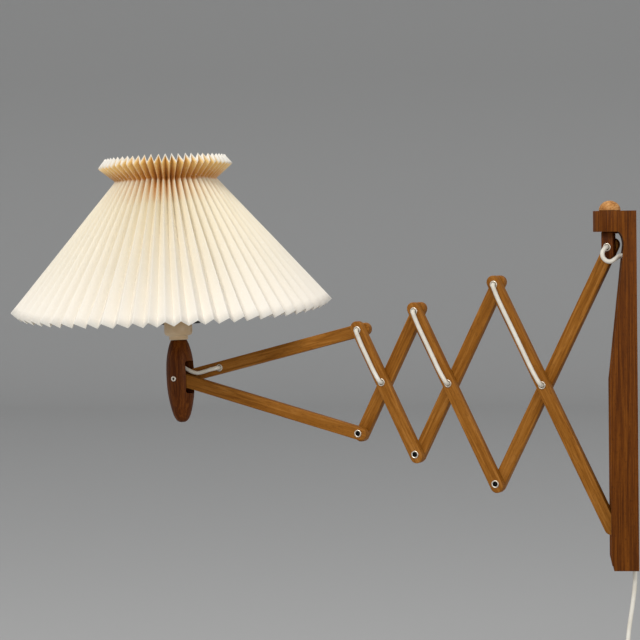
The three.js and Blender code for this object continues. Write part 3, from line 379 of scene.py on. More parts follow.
@dataclass(frozen=True)
class MetalFinish(Finish):
    """Plated or bare metal with fine scratches and duller patches."""

    bright: Colour
    dull: Colour
    roughness: float
    patch: float = 0.004

    def paint(self, graph: Graph, seat: Matrix) -> None:
        """Paint the metal."""
        patch = graph.grain(seat, self.patch, 3.0, 0.4)
        scratch = graph.grain(seat, (self.patch / 2, self.patch / 2, self.patch / 40), 2.0)
        graph.drive(
            "Base Color", graph.mix(graph.span(patch, 0.35, 0.7, 0, 1), self.bright, self.dull)
        )
        rough = graph.span(patch, 0.3, 0.7, self.roughness - 0.08, self.roughness + 0.12)
        graph.drive("Roughness", rough)
        graph.bump(scratch, 0.00002, 0.35)
        graph.plain(Metallic=1.0)


@dataclass(frozen=True)
class MouldedFinish(Finish):
    """Moulded plastic, glazed ceramic or a smooth cord jacket, a little uneven in tone."""

    colour: Colour
    # The second colour mixes in at random patches.
    stain_and_shade: Colour
    roughness: float
    patch: float = 0.02
    grain: float = 0.0006
    bump: float = 0.00003
    coat: float = 0.0

    def paint(self, graph: Graph, seat: Matrix) -> None:
        """Paint the moulded surface."""
        patch = graph.grain(seat, self.patch, 4.0, 0.6)
        colour = graph.mix(graph.span(patch, 0.42, 0.72, 0, 1), self.colour, self.stain_and_shade)
        graph.drive("Base Color", colour)
        rough = graph.span(patch, 0.3, 0.7, self.roughness - 0.05, self.roughness + 0.08)
        graph.drive("Roughness", rough)
        graph.bump(graph.grain(seat, self.grain, 2.0), self.bump, 0.5)
        graph.plain(Coat_Weight=self.coat, Coat_Roughness=0.12)


@dataclass(frozen=True)
class GlassFinish(Finish):
    """Opal glass: milky, smooth and glossy."""

    colour: Colour = (0.86, 0.84, 0.78)

    def paint(self, graph: Graph, seat: Matrix) -> None:
        """Paint the glass."""
        cloud = graph.grain(seat, 0.018, 2.0)
        warm = (self.colour[0], self.colour[1] * 0.97, self.colour[2] * 0.92)
        graph.drive("Base Color", graph.mix(cloud, self.colour, warm))
        graph.plain(Roughness=0.12, Coat_Weight=0.4, Coat_Roughness=0.05, Specular_IOR_Level=0.5)


@dataclass(frozen=True)
class PaperFinish(Finish):
    """Pleated coated paper, pale at the rim and warmer upwards, with painted shade in brown round the
    waist and its valleys, a golden collar painted for its shaded, warmly lit underside, and a painted
    highlight on the cut edges and outer folds.
    """

    rim: Colour
    body: Colour
    high: Colour
    waist: Colour
    collar: Colour
    edge: Colour
    speck: Colour
    glow: Colour
    translucent: float = 0.12

    def paint(self, graph: Graph, seat: Matrix) -> None:
        """Paint the paper."""
        along = graph.attribute("along")
        tide = graph.grain(seat, (0.03, 0.03, 0.05), 3.0)
        stray = graph.math("MULTIPLY", graph.math("SUBTRACT", tide, 0.5), 0.05)
        place = graph.math("ADD", along, stray)
        # The edge stops paint a highlight on the cut edges, and the waist and collar stops paint the
        # shade and warm bounced light found there.
        stops = [
            (0.0, self.edge),
            (0.02, self.rim),
            (0.3, self.body),
            (0.785, self.high),
            (0.8, self.waist),
            (0.84, self.waist),
            (0.93, self.collar),
            (0.975, self.collar),
            (1.0, self.edge),
        ]
        fold = graph.attribute("fold")
        # Painted shade: the valleys in a band round the waist take the waist's brown.
        below = graph.span(place, 0.66, 0.77, 0.0, 1.0)
        above = graph.span(place, 0.84, 0.9, 1.0, 0.0)
        band = graph.math("MULTIPLY", below, above)
        stain_and_shade = graph.math("MULTIPLY", graph.span(fold, 0.85, 0.25, 0.0, 1.0), band)
        colour = graph.mix(stain_and_shade, graph.ramp(place, stops), self.waist)
        specks = graph.grain(seat, (0.0016, 0.0016, 0.0028), 2.0)
        colour = graph.mix(graph.span(specks, 0.6, 0.72, 0.0, 0.6), colour, self.speck)
        # Painted highlight along the outer folds.
        colour = graph.mix(graph.span(fold, 0.9, 1.0, 0.0, 0.4), colour, self.edge)
        graph.drive("Base Color", colour)
        fibre = graph.grain(seat, (0.0007, 0.0007, 0.003), 3.0)
        graph.bump(fibre, 0.00008, 0.5)
        graph.plain(Roughness=0.72, Specular_IOR_Level=0.3)
        through = graph.add("ShaderNodeBsdfTranslucent")
        warm = graph.mix(graph.span(along, 0.6, 0.8, 0.25, 1.0), colour, self.glow, "MULTIPLY")
        graph.join(warm, through.inputs["Color"])
        sheet = graph.add("ShaderNodeMixShader")
        sheet.inputs["Fac"].default_value = self.translucent
        graph.join(graph.shader.outputs["BSDF"], sheet.inputs[1])
        graph.join(through.outputs["BSDF"], sheet.inputs[2])
        graph.join(sheet.outputs["Shader"], graph.output.inputs["Surface"])


@dataclass(frozen=True)
class Finishes:
    """Every finish of the lamp."""

    arm_oak: WoodFinish = WoodFinish(
        slot="oak_arm",
        dark=(0.19, 0.064, 0.005),
        middle=(0.27, 0.1, 0.011),
        light=(0.36, 0.148, 0.026),
        pore=(0.1, 0.032, 0.004),
    )
    wall_oak: WoodFinish = WoodFinish(
        slot="oak_wall_bar",
        dark=(0.066, 0.016, 0.001),
        middle=(0.118, 0.031, 0.0015),
        light=(0.19, 0.056, 0.004),
        pore=(0.03, 0.008, 0.001),
        figure=(0.0035, 0.0035, 0.16),
        pore_share=0.7,
    )
    dark_wood: WoodFinish = WoodFinish(
        slot="dark_oak",
        dark=(0.055, 0.012, 0.001),
        middle=(0.1, 0.024, 0.002),
        light=(0.17, 0.048, 0.005),
        pore=(0.028, 0.006, 0.001),
        roughness=0.42,
    )
    knob_wood: WoodFinish = WoodFinish(
        slot="pale_oak",
        dark=(0.3, 0.12, 0.03),
        middle=(0.46, 0.21, 0.06),
        light=(0.6, 0.32, 0.12),
        pore=(0.22, 0.08, 0.02),
        roughness=0.42,
    )
    nickel: MetalFinish = MetalFinish(
        slot="nickel", bright=(0.93, 0.88, 0.78), dull=(0.7, 0.62, 0.5), roughness=0.27
    )
    # Painted shade: the eyelets' bores are painted near black.
    painted_shade_bore: MetalFinish = MetalFinish(
        slot="nickel", bright=(0.1, 0.09, 0.085), dull=(0.05, 0.045, 0.04), roughness=0.5
    )
    steel: MetalFinish = MetalFinish(
        slot="steel", bright=(0.5, 0.5, 0.49), dull=(0.3, 0.29, 0.27), roughness=0.42
    )
    brass: MetalFinish = MetalFinish(
        slot="brass", bright=(0.72, 0.5, 0.18), dull=(0.42, 0.27, 0.09), roughness=0.32
    )
    cream: MouldedFinish = MouldedFinish(
        slot="cream_plastic",
        colour=(0.74, 0.56, 0.35),
        stain_and_shade=(0.62, 0.43, 0.23),
        roughness=0.36,
        coat=0.2,
    )
    black: MouldedFinish = MouldedFinish(
        slot="black_plastic",
        colour=(0.012, 0.01, 0.009),
        stain_and_shade=(0.03, 0.026, 0.022),
        roughness=0.34,
    )
    ceramic: MouldedFinish = MouldedFinish(
        slot="cream_plastic",
        colour=(0.7, 0.67, 0.6),
        stain_and_shade=(0.6, 0.56, 0.48),
        roughness=0.25,
    )
    jacket: MouldedFinish = MouldedFinish(
        slot="white_cord",
        colour=(0.72, 0.69, 0.61),
        stain_and_shade=(0.6, 0.55, 0.45),
        roughness=0.48,
    )
    tie: MouldedFinish = MouldedFinish(
        slot="black_plastic",
        colour=(0.035, 0.034, 0.032),
        stain_and_shade=(0.06, 0.058, 0.055),
        roughness=0.8,
        bump=0.0003,
    )
    opal: GlassFinish = GlassFinish(slot="bulb_glass")
    # The outside's waist and collar colours are painted shade and warm bounced light, and its edge
    # colour is a painted highlight.
    paper_outside: PaperFinish = PaperFinish(
        slot="pleated_paper",
        rim=(0.93, 0.88, 0.79),
        body=(0.9, 0.84, 0.71),
        high=(0.96, 0.87, 0.66),
        waist=(0.8, 0.42, 0.1),
        collar=(0.95, 0.66, 0.25),
        edge=(0.95, 0.92, 0.84),
        speck=(0.96, 0.93, 0.85),
        glow=(1.0, 0.8, 0.5),
    )
    # The inside is a darker copy of the paper for painted shade, and its pale collar is painted light
    # on the lit inner faces.
    paper_inside: PaperFinish = PaperFinish(
        slot="pleated_paper",
        rim=(0.78, 0.66, 0.46),
        body=(0.78, 0.64, 0.44),
        high=(0.74, 0.56, 0.34),
        waist=(0.6, 0.38, 0.17),
        collar=(0.93, 0.88, 0.77),
        edge=(0.95, 0.92, 0.84),
        speck=(0.84, 0.74, 0.56),
        glow=(1.0, 0.82, 0.55),
    )


FINISHES = Finishes()


# Mesh building


def turned(profile: Profile, steps: int = 64) -> Shape:
    """Spin a profile about the Z axis.

    Args:
        profile: Radius and height of each corner.
        steps: How many faces the full turn has.

    Returns:
        The closed shape.
    """
    shape = bmesh.new()
    corners = [shape.verts.new((radius, 0.0, height)) for radius, height in profile]
    edges = [shape.edges.new(pair) for pair in zip(corners, corners[1:])]
    turn = {"axis": (0, 0, 1), "cent": (0, 0, 0), "angle": 2 * math.pi}
    bmesh.ops.spin(shape, geom=corners + edges, steps=steps, use_merge=True, **turn)
    bmesh.ops.remove_doubles(shape, verts=shape.verts, dist=MERGE)
    bmesh.ops.recalc_face_normals(shape, faces=shape.faces)
    return shape


def prism(outline: Profile, low: float, high: float) -> Shape:
    """Raise a flat outline in X and Y from one height to another.

    Args:
        outline: Corners in order.
        low: Height of the bottom face.
        high: Height of the top face.

    Returns:
        The closed shape.
    """
    shape = bmesh.new()
    face = shape.faces.new([shape.verts.new((x, y, low)) for x, y in outline])
    grown = bmesh.ops.extrude_face_region(shape, geom=[face], use_keep_orig=True)
    raised = [item for item in grown["geom"] if isinstance(item, bmesh.types.BMVert)]
    bmesh.ops.translate(shape, verts=raised, vec=(0, 0, high - low))
    bmesh.ops.recalc_face_normals(shape, faces=shape.faces)
    return shape


def upright(outline: Profile, low: float, high: float) -> Shape:
    """Give a flat outline in X and Z some thickness along Y.

    Args:
        outline: Corners in order.
        low: Y of the near face.
        high: Y of the far face.

    Returns:
        The closed shape.
    """
    shape = prism([(x, -z) for x, z in outline], low, high)
    bmesh.ops.rotate(shape, verts=shape.verts, matrix=Matrix.Rotation(-math.pi / 2, 3, "X"))
    bmesh.ops.recalc_face_normals(shape, faces=shape.faces)
    return shape


def block(low: Point, high: Point) -> Shape:
    """A box between two corners.

    Args:
        low: The lowest corner.
        high: The highest corner.

    Returns:
        The closed shape.
    """
    shape = bmesh.new()
    bmesh.ops.create_cube(shape, size=1.0)
    size = [b - a for a, b in zip(low, high)]
    bmesh.ops.scale(shape, verts=shape.verts, vec=size)
    bmesh.ops.translate(shape, verts=shape.verts, vec=[(a + b) / 2 for a, b in zip(low, high)])
    return shape


def eased(shape: Shape, width: float, angle: float = 50.0, segments: int = 3) -> Shape:
    """Round off the edges that turn by more than an angle.

    Args:
        shape: The shape, which is changed.
        width: How much of each face the rounding takes.
        angle: The least turn in degrees.
        segments: How many steps the rounding has.

    Returns:
        The same shape.
    """
    edges = [
        e for e in shape.edges if e.is_manifold and e.calc_face_angle(0.0) > math.radians(angle)
    ]
    bmesh.ops.bevel(
        shape,
        geom=edges,
        offset=width,
        segments=segments,
        profile=0.5,
        affect="EDGES",
        material=-1,
        clamp_overlap=True,
    )
    return shape


def moved(shape: Shape, matrix: Matrix) -> Shape:
    """Carry a shape to its place.

    Args:
        shape: The shape, which is changed.
        matrix: Where it goes.

    Returns:
        The same shape.
    """
    bmesh.ops.transform(shape, matrix=matrix, verts=shape.verts)
    return shape


def arc(x: float, y: float, radius: float, start: float, end: float, steps: int) -> Outline:
    """Points along an arc, its angles in degrees."""
    turns = [math.radians(start + (end - start) * i / steps) for i in range(steps + 1)]
    return [(x + radius * math.cos(t), y + radius * math.sin(t)) for t in turns]


def in_mm(points: Iterable[tuple[float, float]]) -> Outline:
    """Corners that are given in millimetres."""
    return [(a * MM, b * MM) for a, b in points]


def rounded(half_x: float, half_y: float, corner: float, steps: int) -> Outline:
    """A rectangle about the origin with round corners."""
    signs = ((1, 1), (-1, 1), (-1, -1), (1, -1))
    line: Outline = []
    for n, (x, y) in enumerate(signs):
        line += arc(
            x * (half_x - corner), y * (half_y - corner), corner, 90 * n, 90 * n + 90, steps
        )
    return line


def ridges(start: float, end: float, pitch: float, ridge: Profile) -> Outline:
    """One ridge after another along Z, for threads and ribs.

    Args:
        start: Height of the first ridge.
        end: Height that no ridge starts at or above.
        pitch: Height from one ridge to the next.
        ridge: Radius and rise of a ridge's corners.

    Returns:
        The corners in order.
    """
    line: Outline = []
    while start < end:
        line += [(radius, start + rise) for radius, rise in ridge]
        start += pitch
    return line


def shift(x: float = 0.0, y: float = 0.0, z: float = 0.0) -> Matrix:
    """A move without a turn."""
    return Matrix.Translation((x, y, z))


def rod(radius: float, low: float, high: float, steps: int = 48) -> Shape:
    """A plain round rod about Z, used as a tool for holes."""
    return turned([(0, low), (radius, low), (radius, high), (0, high)], steps)


def about_y(shape: Shape) -> Shape:
    """Turn a shape made about Z so that it lies along Y."""
    return moved(shape, Matrix.Rotation(-math.pi / 2, 4, "X"))


def about_x(shape: Shape) -> Shape:
    """Turn a shape made about Z so that it lies along X."""
    return moved(shape, Matrix.Rotation(math.pi / 2, 4, "Y"))


def mesh_of(shape: Shape, name: str) -> bpy.types.Mesh:
    """Turn a shape into mesh data and free it.

    Args:
        shape: The shape.
        name: The mesh's name.

    Returns:
        The mesh data.
    """
    mesh = bpy.data.meshes.new(name)
    shape.to_mesh(mesh)
    shape.free()
    return mesh


def carved(body: Shape, *tools: Shape, operation: str = "DIFFERENCE") -> Shape:
    """Cut tools out of a body, or join them to it.

    Args:
        body: The shape that is changed.
        *tools: The shapes that are taken away or joined.
        operation: The boolean operation.

    Returns:
        The changed shape.
    """
    scene = bpy.context.scene.collection
    blank = bpy.data.objects.new("blank", mesh_of(body, "blank"))
    cutters = [bpy.data.objects.new("cutter", mesh_of(tool, "cutter")) for tool in tools]
    for thing in (blank, *cutters):
        scene.objects.link(thing)
    for cutter in cutters:
        cut = blank.modifiers.new("cut", "BOOLEAN")
        cut.operation = operation
        cut.solver = "EXACT"
        cut.object = cutter
    bpy.context.view_layer.update()
    done = bpy.data.meshes.new_from_object(
        blank.evaluated_get(bpy.context.evaluated_depsgraph_get())
    )
    result = bmesh.new()
    result.from_mesh(done)
    for thing in (blank, *cutters):
        data = thing.data
        bpy.data.objects.remove(thing)
        bpy.data.meshes.remove(data)
    bpy.data.meshes.remove(done)
    bmesh.ops.remove_doubles(result, verts=result.verts, dist=MERGE)
    bmesh.ops.dissolve_degenerate(result, edges=result.edges, dist=MERGE)
    return result


def linked(name: str, data: bpy.types.ID) -> bpy.types.Object:
    """Put data in the scene as an object."""
    thing = bpy.data.objects.new(name, data)
    bpy.context.scene.collection.objects.link(thing)
    return thing


def shaded(mesh: bpy.types.Mesh, angle: float | None = None) -> bpy.types.Mesh:
    """Shade a mesh smooth, but for edges that turn by more than an angle in degrees."""
    mesh.polygons.foreach_set("use_smooth", [True] * len(mesh.polygons))
    if angle is not None:
        mesh.set_sharp_from_angle(angle=math.radians(angle))
    return mesh


def piece(
    shape: Shape | bpy.types.Mesh,
    name: str,
    finish: Finish,
    seat: Matrix,
    body: str,
    nodes: Sequence[str] = (),
    smooth: float = 38.0,
) -> bpy.types.Object:
    """Put a finished shape in the scene.

    Args:
        shape: The shape, already in its place.
        name: The piece's name.
        finish: Its finish.
        seat: Its own axes, for the finish.
        body: The body that it rides on.
        nodes: The solids that it stands for.
        smooth: Edges that turn by more than this many degrees look sharp.

    Returns:
        The object.
    """
    mesh = shaded(shape if isinstance(shape, bpy.types.Mesh) else mesh_of(shape, name), smooth)
    thing = linked(name, mesh)
    mesh.materials.append(finish.material(name, seat))
    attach(thing, body)
    if nodes:
        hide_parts(*nodes)
    log.info("%s: %d faces on %s", name, len(mesh.polygons), body)
    return thing


def smooth_line(points: Sequence[Vector], spacing: float) -> list[Vector]:
    """A smooth line through points, its own points about a spacing apart.

    Args:
        points: The points that it passes.
        spacing: The distance between the line's points.

    Returns:
        The line's points.
    """
    ends = [points[0] * 2 - points[1], *points, points[-1] * 2 - points[-2]]
    line: list[Vector] = []
    for before, start, end, after in zip(ends, ends[1:], ends[2:], ends[3:]):
        knots = [0.0]
        for a, b in ((before, start), (start, end), (end, after)):
            knots.append(knots[-1] + max((b - a).length, 1e-9) ** 0.5)
        steps = max(1, round((end - start).length / spacing))
        for i in range(steps):
            at = knots[1] + (knots[2] - knots[1]) * i / steps
            share = {
                (low, high): (at - knots[low]) / (knots[high] - knots[low]) for low,
                high in SPLINE_SPANS
            }
            first = before.lerp(start, share[0, 1])
            second = start.lerp(end, share[1, 2])
            third = end.lerp(after, share[2, 3])
            line.append(
                first.lerp(second, share[0, 2]).lerp(second.lerp(third, share[1, 3]), share[1, 2])
            )
    line.append(points[-1].copy())
    return line


def tube(line: Sequence[Vector], radius: float, sides: int = 16) -> Shape:
    """A round tube along a line, closed at both ends.

    Args:
        line: The line's points.
        radius: The tube's radius.
        sides: How many faces go round it.

    Returns:
        The closed shape.
    """
    shape = bmesh.new()
    across = Vector((0.31, 0.17, 0.93))
    rings: list[list[bmesh.types.BMVert]] = []
    for i, point in enumerate(line):
        along = (line[min(i + 1, len(line) - 1)] - line[max(i - 1, 0)]).normalized()
        across = (across - along * across.dot(along)).normalized()
        other = along.cross(across)
        turns = [2 * math.pi * n / sides for n in range(sides)]
        spokes = [across * math.cos(t) + other * math.sin(t) for t in turns]
        rings.append([shape.verts.new(point + spoke * radius) for spoke in spokes])
    for ring, after in zip(rings, rings[1:]):
        for n in range(sides):
            shape.faces.new((ring[n], ring[(n + 1) % sides], after[(n + 1) % sides], after[n]))
    shape.faces.new(list(reversed(rings[0])))
    shape.faces.new(rings[-1])
    bmesh.ops.recalc_face_normals(shape, faces=shape.faces)
    return shape


def bent_tube(
    line: Sequence[Vector],
    radius: float,
    name: str,
    bodies: tuple[str, str],
    node: str,
) -> bpy.types.Object:
    """A stretch of cord between two bodies, made as one fixed tube in the frame.

    Args:
        line: The cord's line in the frame.
        radius: Its radius.
        name: The piece's name.
        bodies: The two bodies that it runs between, named only in the log.
        node: The solid that it stands for.

    Returns:
        The object.
    """
    mesh = shaded(mesh_of(tube(line, radius), name), TUBE_ANGLE)
    mesh.materials.append(FINISHES.jacket.material(name, Matrix()))
    thing = linked(name, mesh)
    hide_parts(node)
    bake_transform(thing)
    log.info("%s: %d faces between %s and %s", name, len(mesh.polygons), *bodies)
    return thing


def hollow_rivet(
    bore: float,
    tube_r: float,
    flange: float,
    thick: float,
    faces: tuple[float, float],
    rolled: Profile,
    steps: int,
) -> Shape:
    """A hollow rivet along Y with a rolled flange at each end.

    Args:
        bore: Radius of its bore.
        tube_r: Outer radius of its tube.
        flange: Outer radius of its flanges.
        thick: Thickness of a flange.
        faces: Where its near and its far flange rest.
        rolled: A flange's outline, as shares of its width and thickness.
        steps: How many faces go round it.

    Returns:
        The closed shape.
    """
    near, far = faces
    profile = [(bore + (flange - bore) * r, near - thick * z) for r, z in rolled]
    profile += [(tube_r, near), (tube_r, far)]
    profile += [(bore + (flange - bore) * r, far + thick * z) for r, z in reversed(rolled)]
    return about_y(turned(profile + [profile[0]], steps))


# The lamp


@dataclass(frozen=True)
class Layout:
    """Where the arm's pivots and the head's axes are."""

    swivel_x: float = -28 * MM
    swing: float = math.radians(21.9)
    bar_angle: float = math.radians(63.1)
    lean: float = math.radians(2.5)
    spans: tuple[float, ...] = (67.3 * MM, 92.2 * MM, 126.3 * MM, 172.6 * MM)
    head_span: float = 248.5 * MM
    top_z: float = 158 * MM
    width: float = 15 * MM
    thick: float = 9.5 * MM
    inner: float = 0.25 * MM
    end: float = 3 * MM

    @property
    def outer(self) -> float:
        """Distance of a layer's outer face from the arm's middle plane."""
        return self.inner + self.thick

    @property
    def cross_z(self) -> float:
        """Height of the crossings."""
        return self.top_z - self.spans[3] * math.sin(self.bar_angle)

    @property
    def head_angle(self) -> float:
        """Slope of the two bars of the head."""
        return math.asin(self.spans[0] * math.sin(self.bar_angle) / self.head_span)

    @property
    def arm(self) -> Matrix:
        """The arm's axes: outward is -X, and +Y is away from the camera."""
        return shift(self.swivel_x, 0, 0) @ Matrix.Rotation(-self.swing, 4, "Z")

    def crossing(self, k: int) -> Vector:
        """Place of crossing k in the arm's axes."""
        doubled = sum(2 * self.spans[n] for n in range(k, 3))
        return Vector((-(self.spans[3] + doubled) * math.cos(self.bar_angle), 0, self.cross_z))

    def pivot(self, k: int, side: Side) -> Vector:
        """Place of a top or bottom pivot in the arm's axes."""
        span = self.spans[k - 1]
        rise = side.value * span * math.sin(self.bar_angle)
        out = 0.0 if k == 4 else -self.crossing(k).x + span * math.cos(self.bar_angle)
        return Vector((-out, 0, self.cross_z + rise))

    @property
    def rivet(self) -> Vector:
        """Place of the head's rivet in the arm's axes."""
        first = self.pivot(1, Side.TOP).x
        return Vector((first - self.head_span * math.cos(self.head_angle), 0, self.cross_z))

    @property
    def head(self) -> Matrix:
        """The head's axes: Z runs up through spindle, holder and shade."""
        return self.arm @ Matrix.Translation(self.rivet) @ Matrix.Rotation(-self.lean, 4, "Y")

    def bar(self, pivot: Vector, turn: float) -> Matrix:
        """Axes of a bar that hangs from a pivot along -Z."""
        return self.arm @ Matrix.Translation(pivot) @ Matrix.Rotation(turn, 4, "Y")


LAYOUT = Layout()


@dataclass
class ScissorArm:
    """The oak bars, their hollow eyelets and the cord that weaves through them."""

    layout: Layout = LAYOUT
    edge: float = 0.9 * MM
    bore: float = 3.0 * MM
    tube: float = 3.35 * MM
    flange: float = 4.5 * MM
    flange_thick: float = 0.8 * MM
    touch: float = 0.3 * MM
    cord: float = CORD_RADIUS
    cord_lift: float = 0.5 * MM
    cord_bend: float = 3.6 * MM
    cord_slack: float = 1.6 * MM
    cord_inset: float = 54.5 * MM
    seats: dict[str, Matrix] = field(default_factory=dict)

    def outline(self, length: float, far_end: float) -> Outline:
        """Outline of a bar that hangs from the origin.

        Args:
            length: Distance from its first pivot to its last.
            far_end: How far its straight edge goes past the last pivot.

        Returns:
            Corners in X and Z.
        """
        half = self.layout.width / 2
        top = arc(0, self.layout.end, half, 0, 180, 20)
        return top + arc(0, -length - far_end, half, 180, 360, 20)

    def bar(
        self, length: float, layer: Layer, holes: Iterable[float], far_end: float | None = None
    ) -> Shape:
        """One bar with eased edges and its holes.

        Args:
            length: Distance from its first pivot to its last.
            layer: The layer that it lies in.
            holes: Places of its holes below its first pivot.
            far_end: How far its straight edge goes past the last pivot.

        Returns:
            The bar, hanging from the origin.
        """
        outline = self.outline(length, self.layout.end if far_end is None else far_end)
        near, far = sorted((layer.value * self.layout.inner, layer.value * self.layout.outer))
        blank = eased(upright(outline, near, far), self.edge, 60)
        reach = self.layout.outer + self.edge
        drills = [
            moved(about_y(rod(self.tube + 0.15 * MM, -reach, reach)), shift(0, 0, -hole))
            for hole in holes
        ]
        return carved(blank, *drills)

    def dress_bar(self, name: str, shape: Shape, seat: Matrix, body: str) -> None:
        """Carry a bar to its place and give it its wood.

        Args:
            name: The bar's name, after the solid that it stands for.
            shape: The bar, hanging from the origin.
            seat: Its axes.
            body: The body that it rides on.
        """
        number = len(self.seats)
        self.seats[name] = seat
        grain = seat @ shift(0.013 * number, 0.021 * number, 0.37 * number)
        piece(moved(shape, seat), f"oak_{name}", FINISHES.arm_oak, grain, body, [name])

    def bars(self) -> None:
        """The six scissor bars and the two long bars of the head."""
        layout = self.layout
        steep = layout.bar_angle
        for k in (1, 2, 3):
            near, far = layout.spans[k - 1], layout.spans[k]
            holes = [0, near] + ([near + far] if k < 3 else [])
            seat = layout.bar(layout.pivot(k, Side.TOP), steep - math.pi / 2)
            self.dress_bar(
                f"front_bar_{k}", self.bar(near + far, Layer.FRONT, holes), seat, f"front_arm_{k}"
            )
            seat = layout.bar(layout.pivot(k + 1, Side.TOP), math.pi / 2 - steep)
            holes = [0, far, near + far]
            self.dress_bar(
                f"back_bar_{k}", self.bar(near + far, Layer.BACK, holes), seat, f"back_arm_{k}"
            )
        self.head_bars()

    def head_bars(self) -> None:
        """The upper bar with the cord's eyelet and the lower bar with its open notch."""
        layout = self.layout
        span = layout.head_span
        upper = self.bar(span, Layer.BACK, [0, span - self.cord_inset])
        sink = about_y(
            rod(self.flange + 0.25 * MM, 0, layout.inner + self.flange_thick + 2 * self.touch)
        )
        rivet = about_y(rod(2.35 * MM, -layout.outer * 2, layout.outer * 2))
        upper = carved(
            upper,
            moved(sink, shift(0, 0, self.cord_inset - span)),
            moved(rivet, shift(0, 0, -span)),
        )
        seat = layout.bar(layout.pivot(1, Side.TOP), math.pi / 2 - layout.head_angle)
        self.dress_bar("upper_head_bar", upper, seat, "upper_head_arm")
        side = 2.7 * MM
        notch = arc(0, 3.2 * MM, side, 0, 180, 10) + [
            (-side, 0),
            (-side - 1.8 * MM, -14 * MM),
            (side + 1.8 * MM, -14 * MM),
            (side, 0),
        ]
        turn = math.pi / 2 + layout.head_angle
        tool = moved(upright(notch, -layout.outer - MM, MM), Matrix.Rotation(-turn, 4, "Y"))
        lower = self.bar(span, Layer.FRONT, [0], 0.0)
        lower = carved(lower, moved(tool, shift(0, 0, -span)))
        self.dress_bar(
            "lower_head_bar", lower, layout.bar(layout.pivot(1, Side.BOTTOM), turn),
            "lower_head_arm"
        )

    def eyelet(self, near: float, far: float) -> Shape:
        """A hollow rivet along Y with a rolled flange at each end.

        Args:
            near: Where its near flange rests.
            far: Where its far flange rests.

        Returns:
            The closed shape.
        """
        rolled = [(0.0, 0.55), (0.16, 0.86), (0.45, 1.0), (0.78, 0.8), (0.97, 0.42), (1.0, 0.0)]
        return hollow_rivet(
            self.bore, self.tube, self.flange, self.flange_thick, (near, far), rolled, 40
        )

    def dress_eyelet(self, name: str, shape: Shape, axes: Matrix, body: str) -> None:
        """Carry an eyelet to its place, with its bore painted near black for painted shade.

        Args:
            name: The eyelet's name, after the solid that it stands for.
            shape: The eyelet in its own axes.
            axes: Those axes.
            body: The body that it rides on.
        """
        wall = self.bore + 0.1 * MM
        bores = [face.index for face in shape.faces if face.calc_center_median().xz.length < wall]
        thing = piece(moved(shape, axes), f"nickel_{name}", FINISHES.nickel, axes, body, [name])
        # The bore faces take the painted shade.
        thing.data.materials.append(FINISHES.painted_shade_bore.material(f"nickel_{name}_bore", axes))
        for index in bores:
            thing.data.polygons[index].material_index = 1

    def eyelets(self) -> None:
        """The eyelets at the arm's pivots and at the cord's hole."""
        layout = self.layout
        seat = layout.outer + self.touch
        spots: list[tuple[str, Vector, str]] = []
        for k in (1, 2, 3):
            spots.append((f"eyelet_top_{k}", layout.pivot(k, Side.TOP), f"front_arm_{k}"))
            spots.append((f"eyelet_cross_{k}", layout.crossing(k), f"back_arm_{k}"))
            spots.append((f"eyelet_bottom_{k}", layout.pivot(k, Side.BOTTOM), f"back_arm_{k}"))
        spots.append(("eyelet_top_4", layout.pivot(4, Side.TOP), "swivel"))
        for name, place, body in spots:
            axes = layout.arm @ Matrix.Translation(place)
            self.dress_eyelet(name, self.eyelet(-seat, seat), axes, body)
        along = Vector((math.cos(layout.head_angle), 0, math.sin(layout.head_angle)))
        axes = layout.arm @ Matrix.Translation(layout.rivet + along * self.cord_inset)
        sunk = layout.inner + self.touch / 2 + self.flange_thick
        self.dress_eyelet("cord_eyelet", self.eyelet(sunk, seat), axes, "upper_head_arm")

    def cord_line(
        self, layer: Layer, start: float, end: float, ends_y: tuple[float, float], slack: float
    ) -> list[Vector]:
        """The cord's line along a bar's face, from one bore to another.

        Args:
            layer: The side of the arm that it lies on.
            start: Height of the bore where it starts, in the bar's axes.
            end: Height of the bore where it ends.
            ends_y: How deep in each bore it begins and ends.
            slack: How far it bows sideways.

        Returns:
            Points in the bar's axes.
        """
        out = layer.value
        mouth = self.layout.outer + self.touch + self.flange_thick
        lying = self.layout.outer + self.cord_lift + self.cord
        crest = mouth + self.cord_bend
        way = math.copysign(1.0, end - start)
        slide = 2 * self.flange
        quarter = math.pi / 4
        bend = [
            (0.0, mouth),
            (self.cord_bend * (1 - math.cos(quarter)), mouth + self.cord_bend * math.sin(quarter)),
            (self.cord_bend, crest),
        ]
        line = [Vector((0, out * ends_y[0], start))]
        line += [Vector((0, out * high, start + way * along)) for along, high in bend]
        line.append(Vector((-slack / 2, out * (crest + lying) / 2, start + way * slide)))
        line.append(Vector((-slack, out * lying, start + way * 2 * slide)))
        line.append(Vector((-slack, out * lying, (start + end) / 2)))
        line.append(Vector((-slack, out * lying, end - way * 2 * slide)))
        line.append(Vector((-slack / 2, out * (crest + lying) / 2, end - way * slide)))
        line += [Vector((0, out * high, end - way * along)) for along, high in reversed(bend)]
        line.append(Vector((0, out * ends_y[1], end)))
        return line

    def lay_cord(
        self, name: str, line: Sequence[Vector], seat: Matrix, body: str, node: str
    ) -> bpy.types.Object:
        """Lay one stretch of the cord.

        Args:
            name: The stretch's name.
            line: Its points in the given axes.
            seat: Those axes.
            body: The body that it rides on.
            node: The solid that it stands for.

        Returns:
            The stretch.
        """
        path = smooth_line([seat @ point for point in line], 1.5 * MM)
        return piece(tube(path, self.cord), name, FINISHES.jacket, seat, body, [node], TUBE_ANGLE)

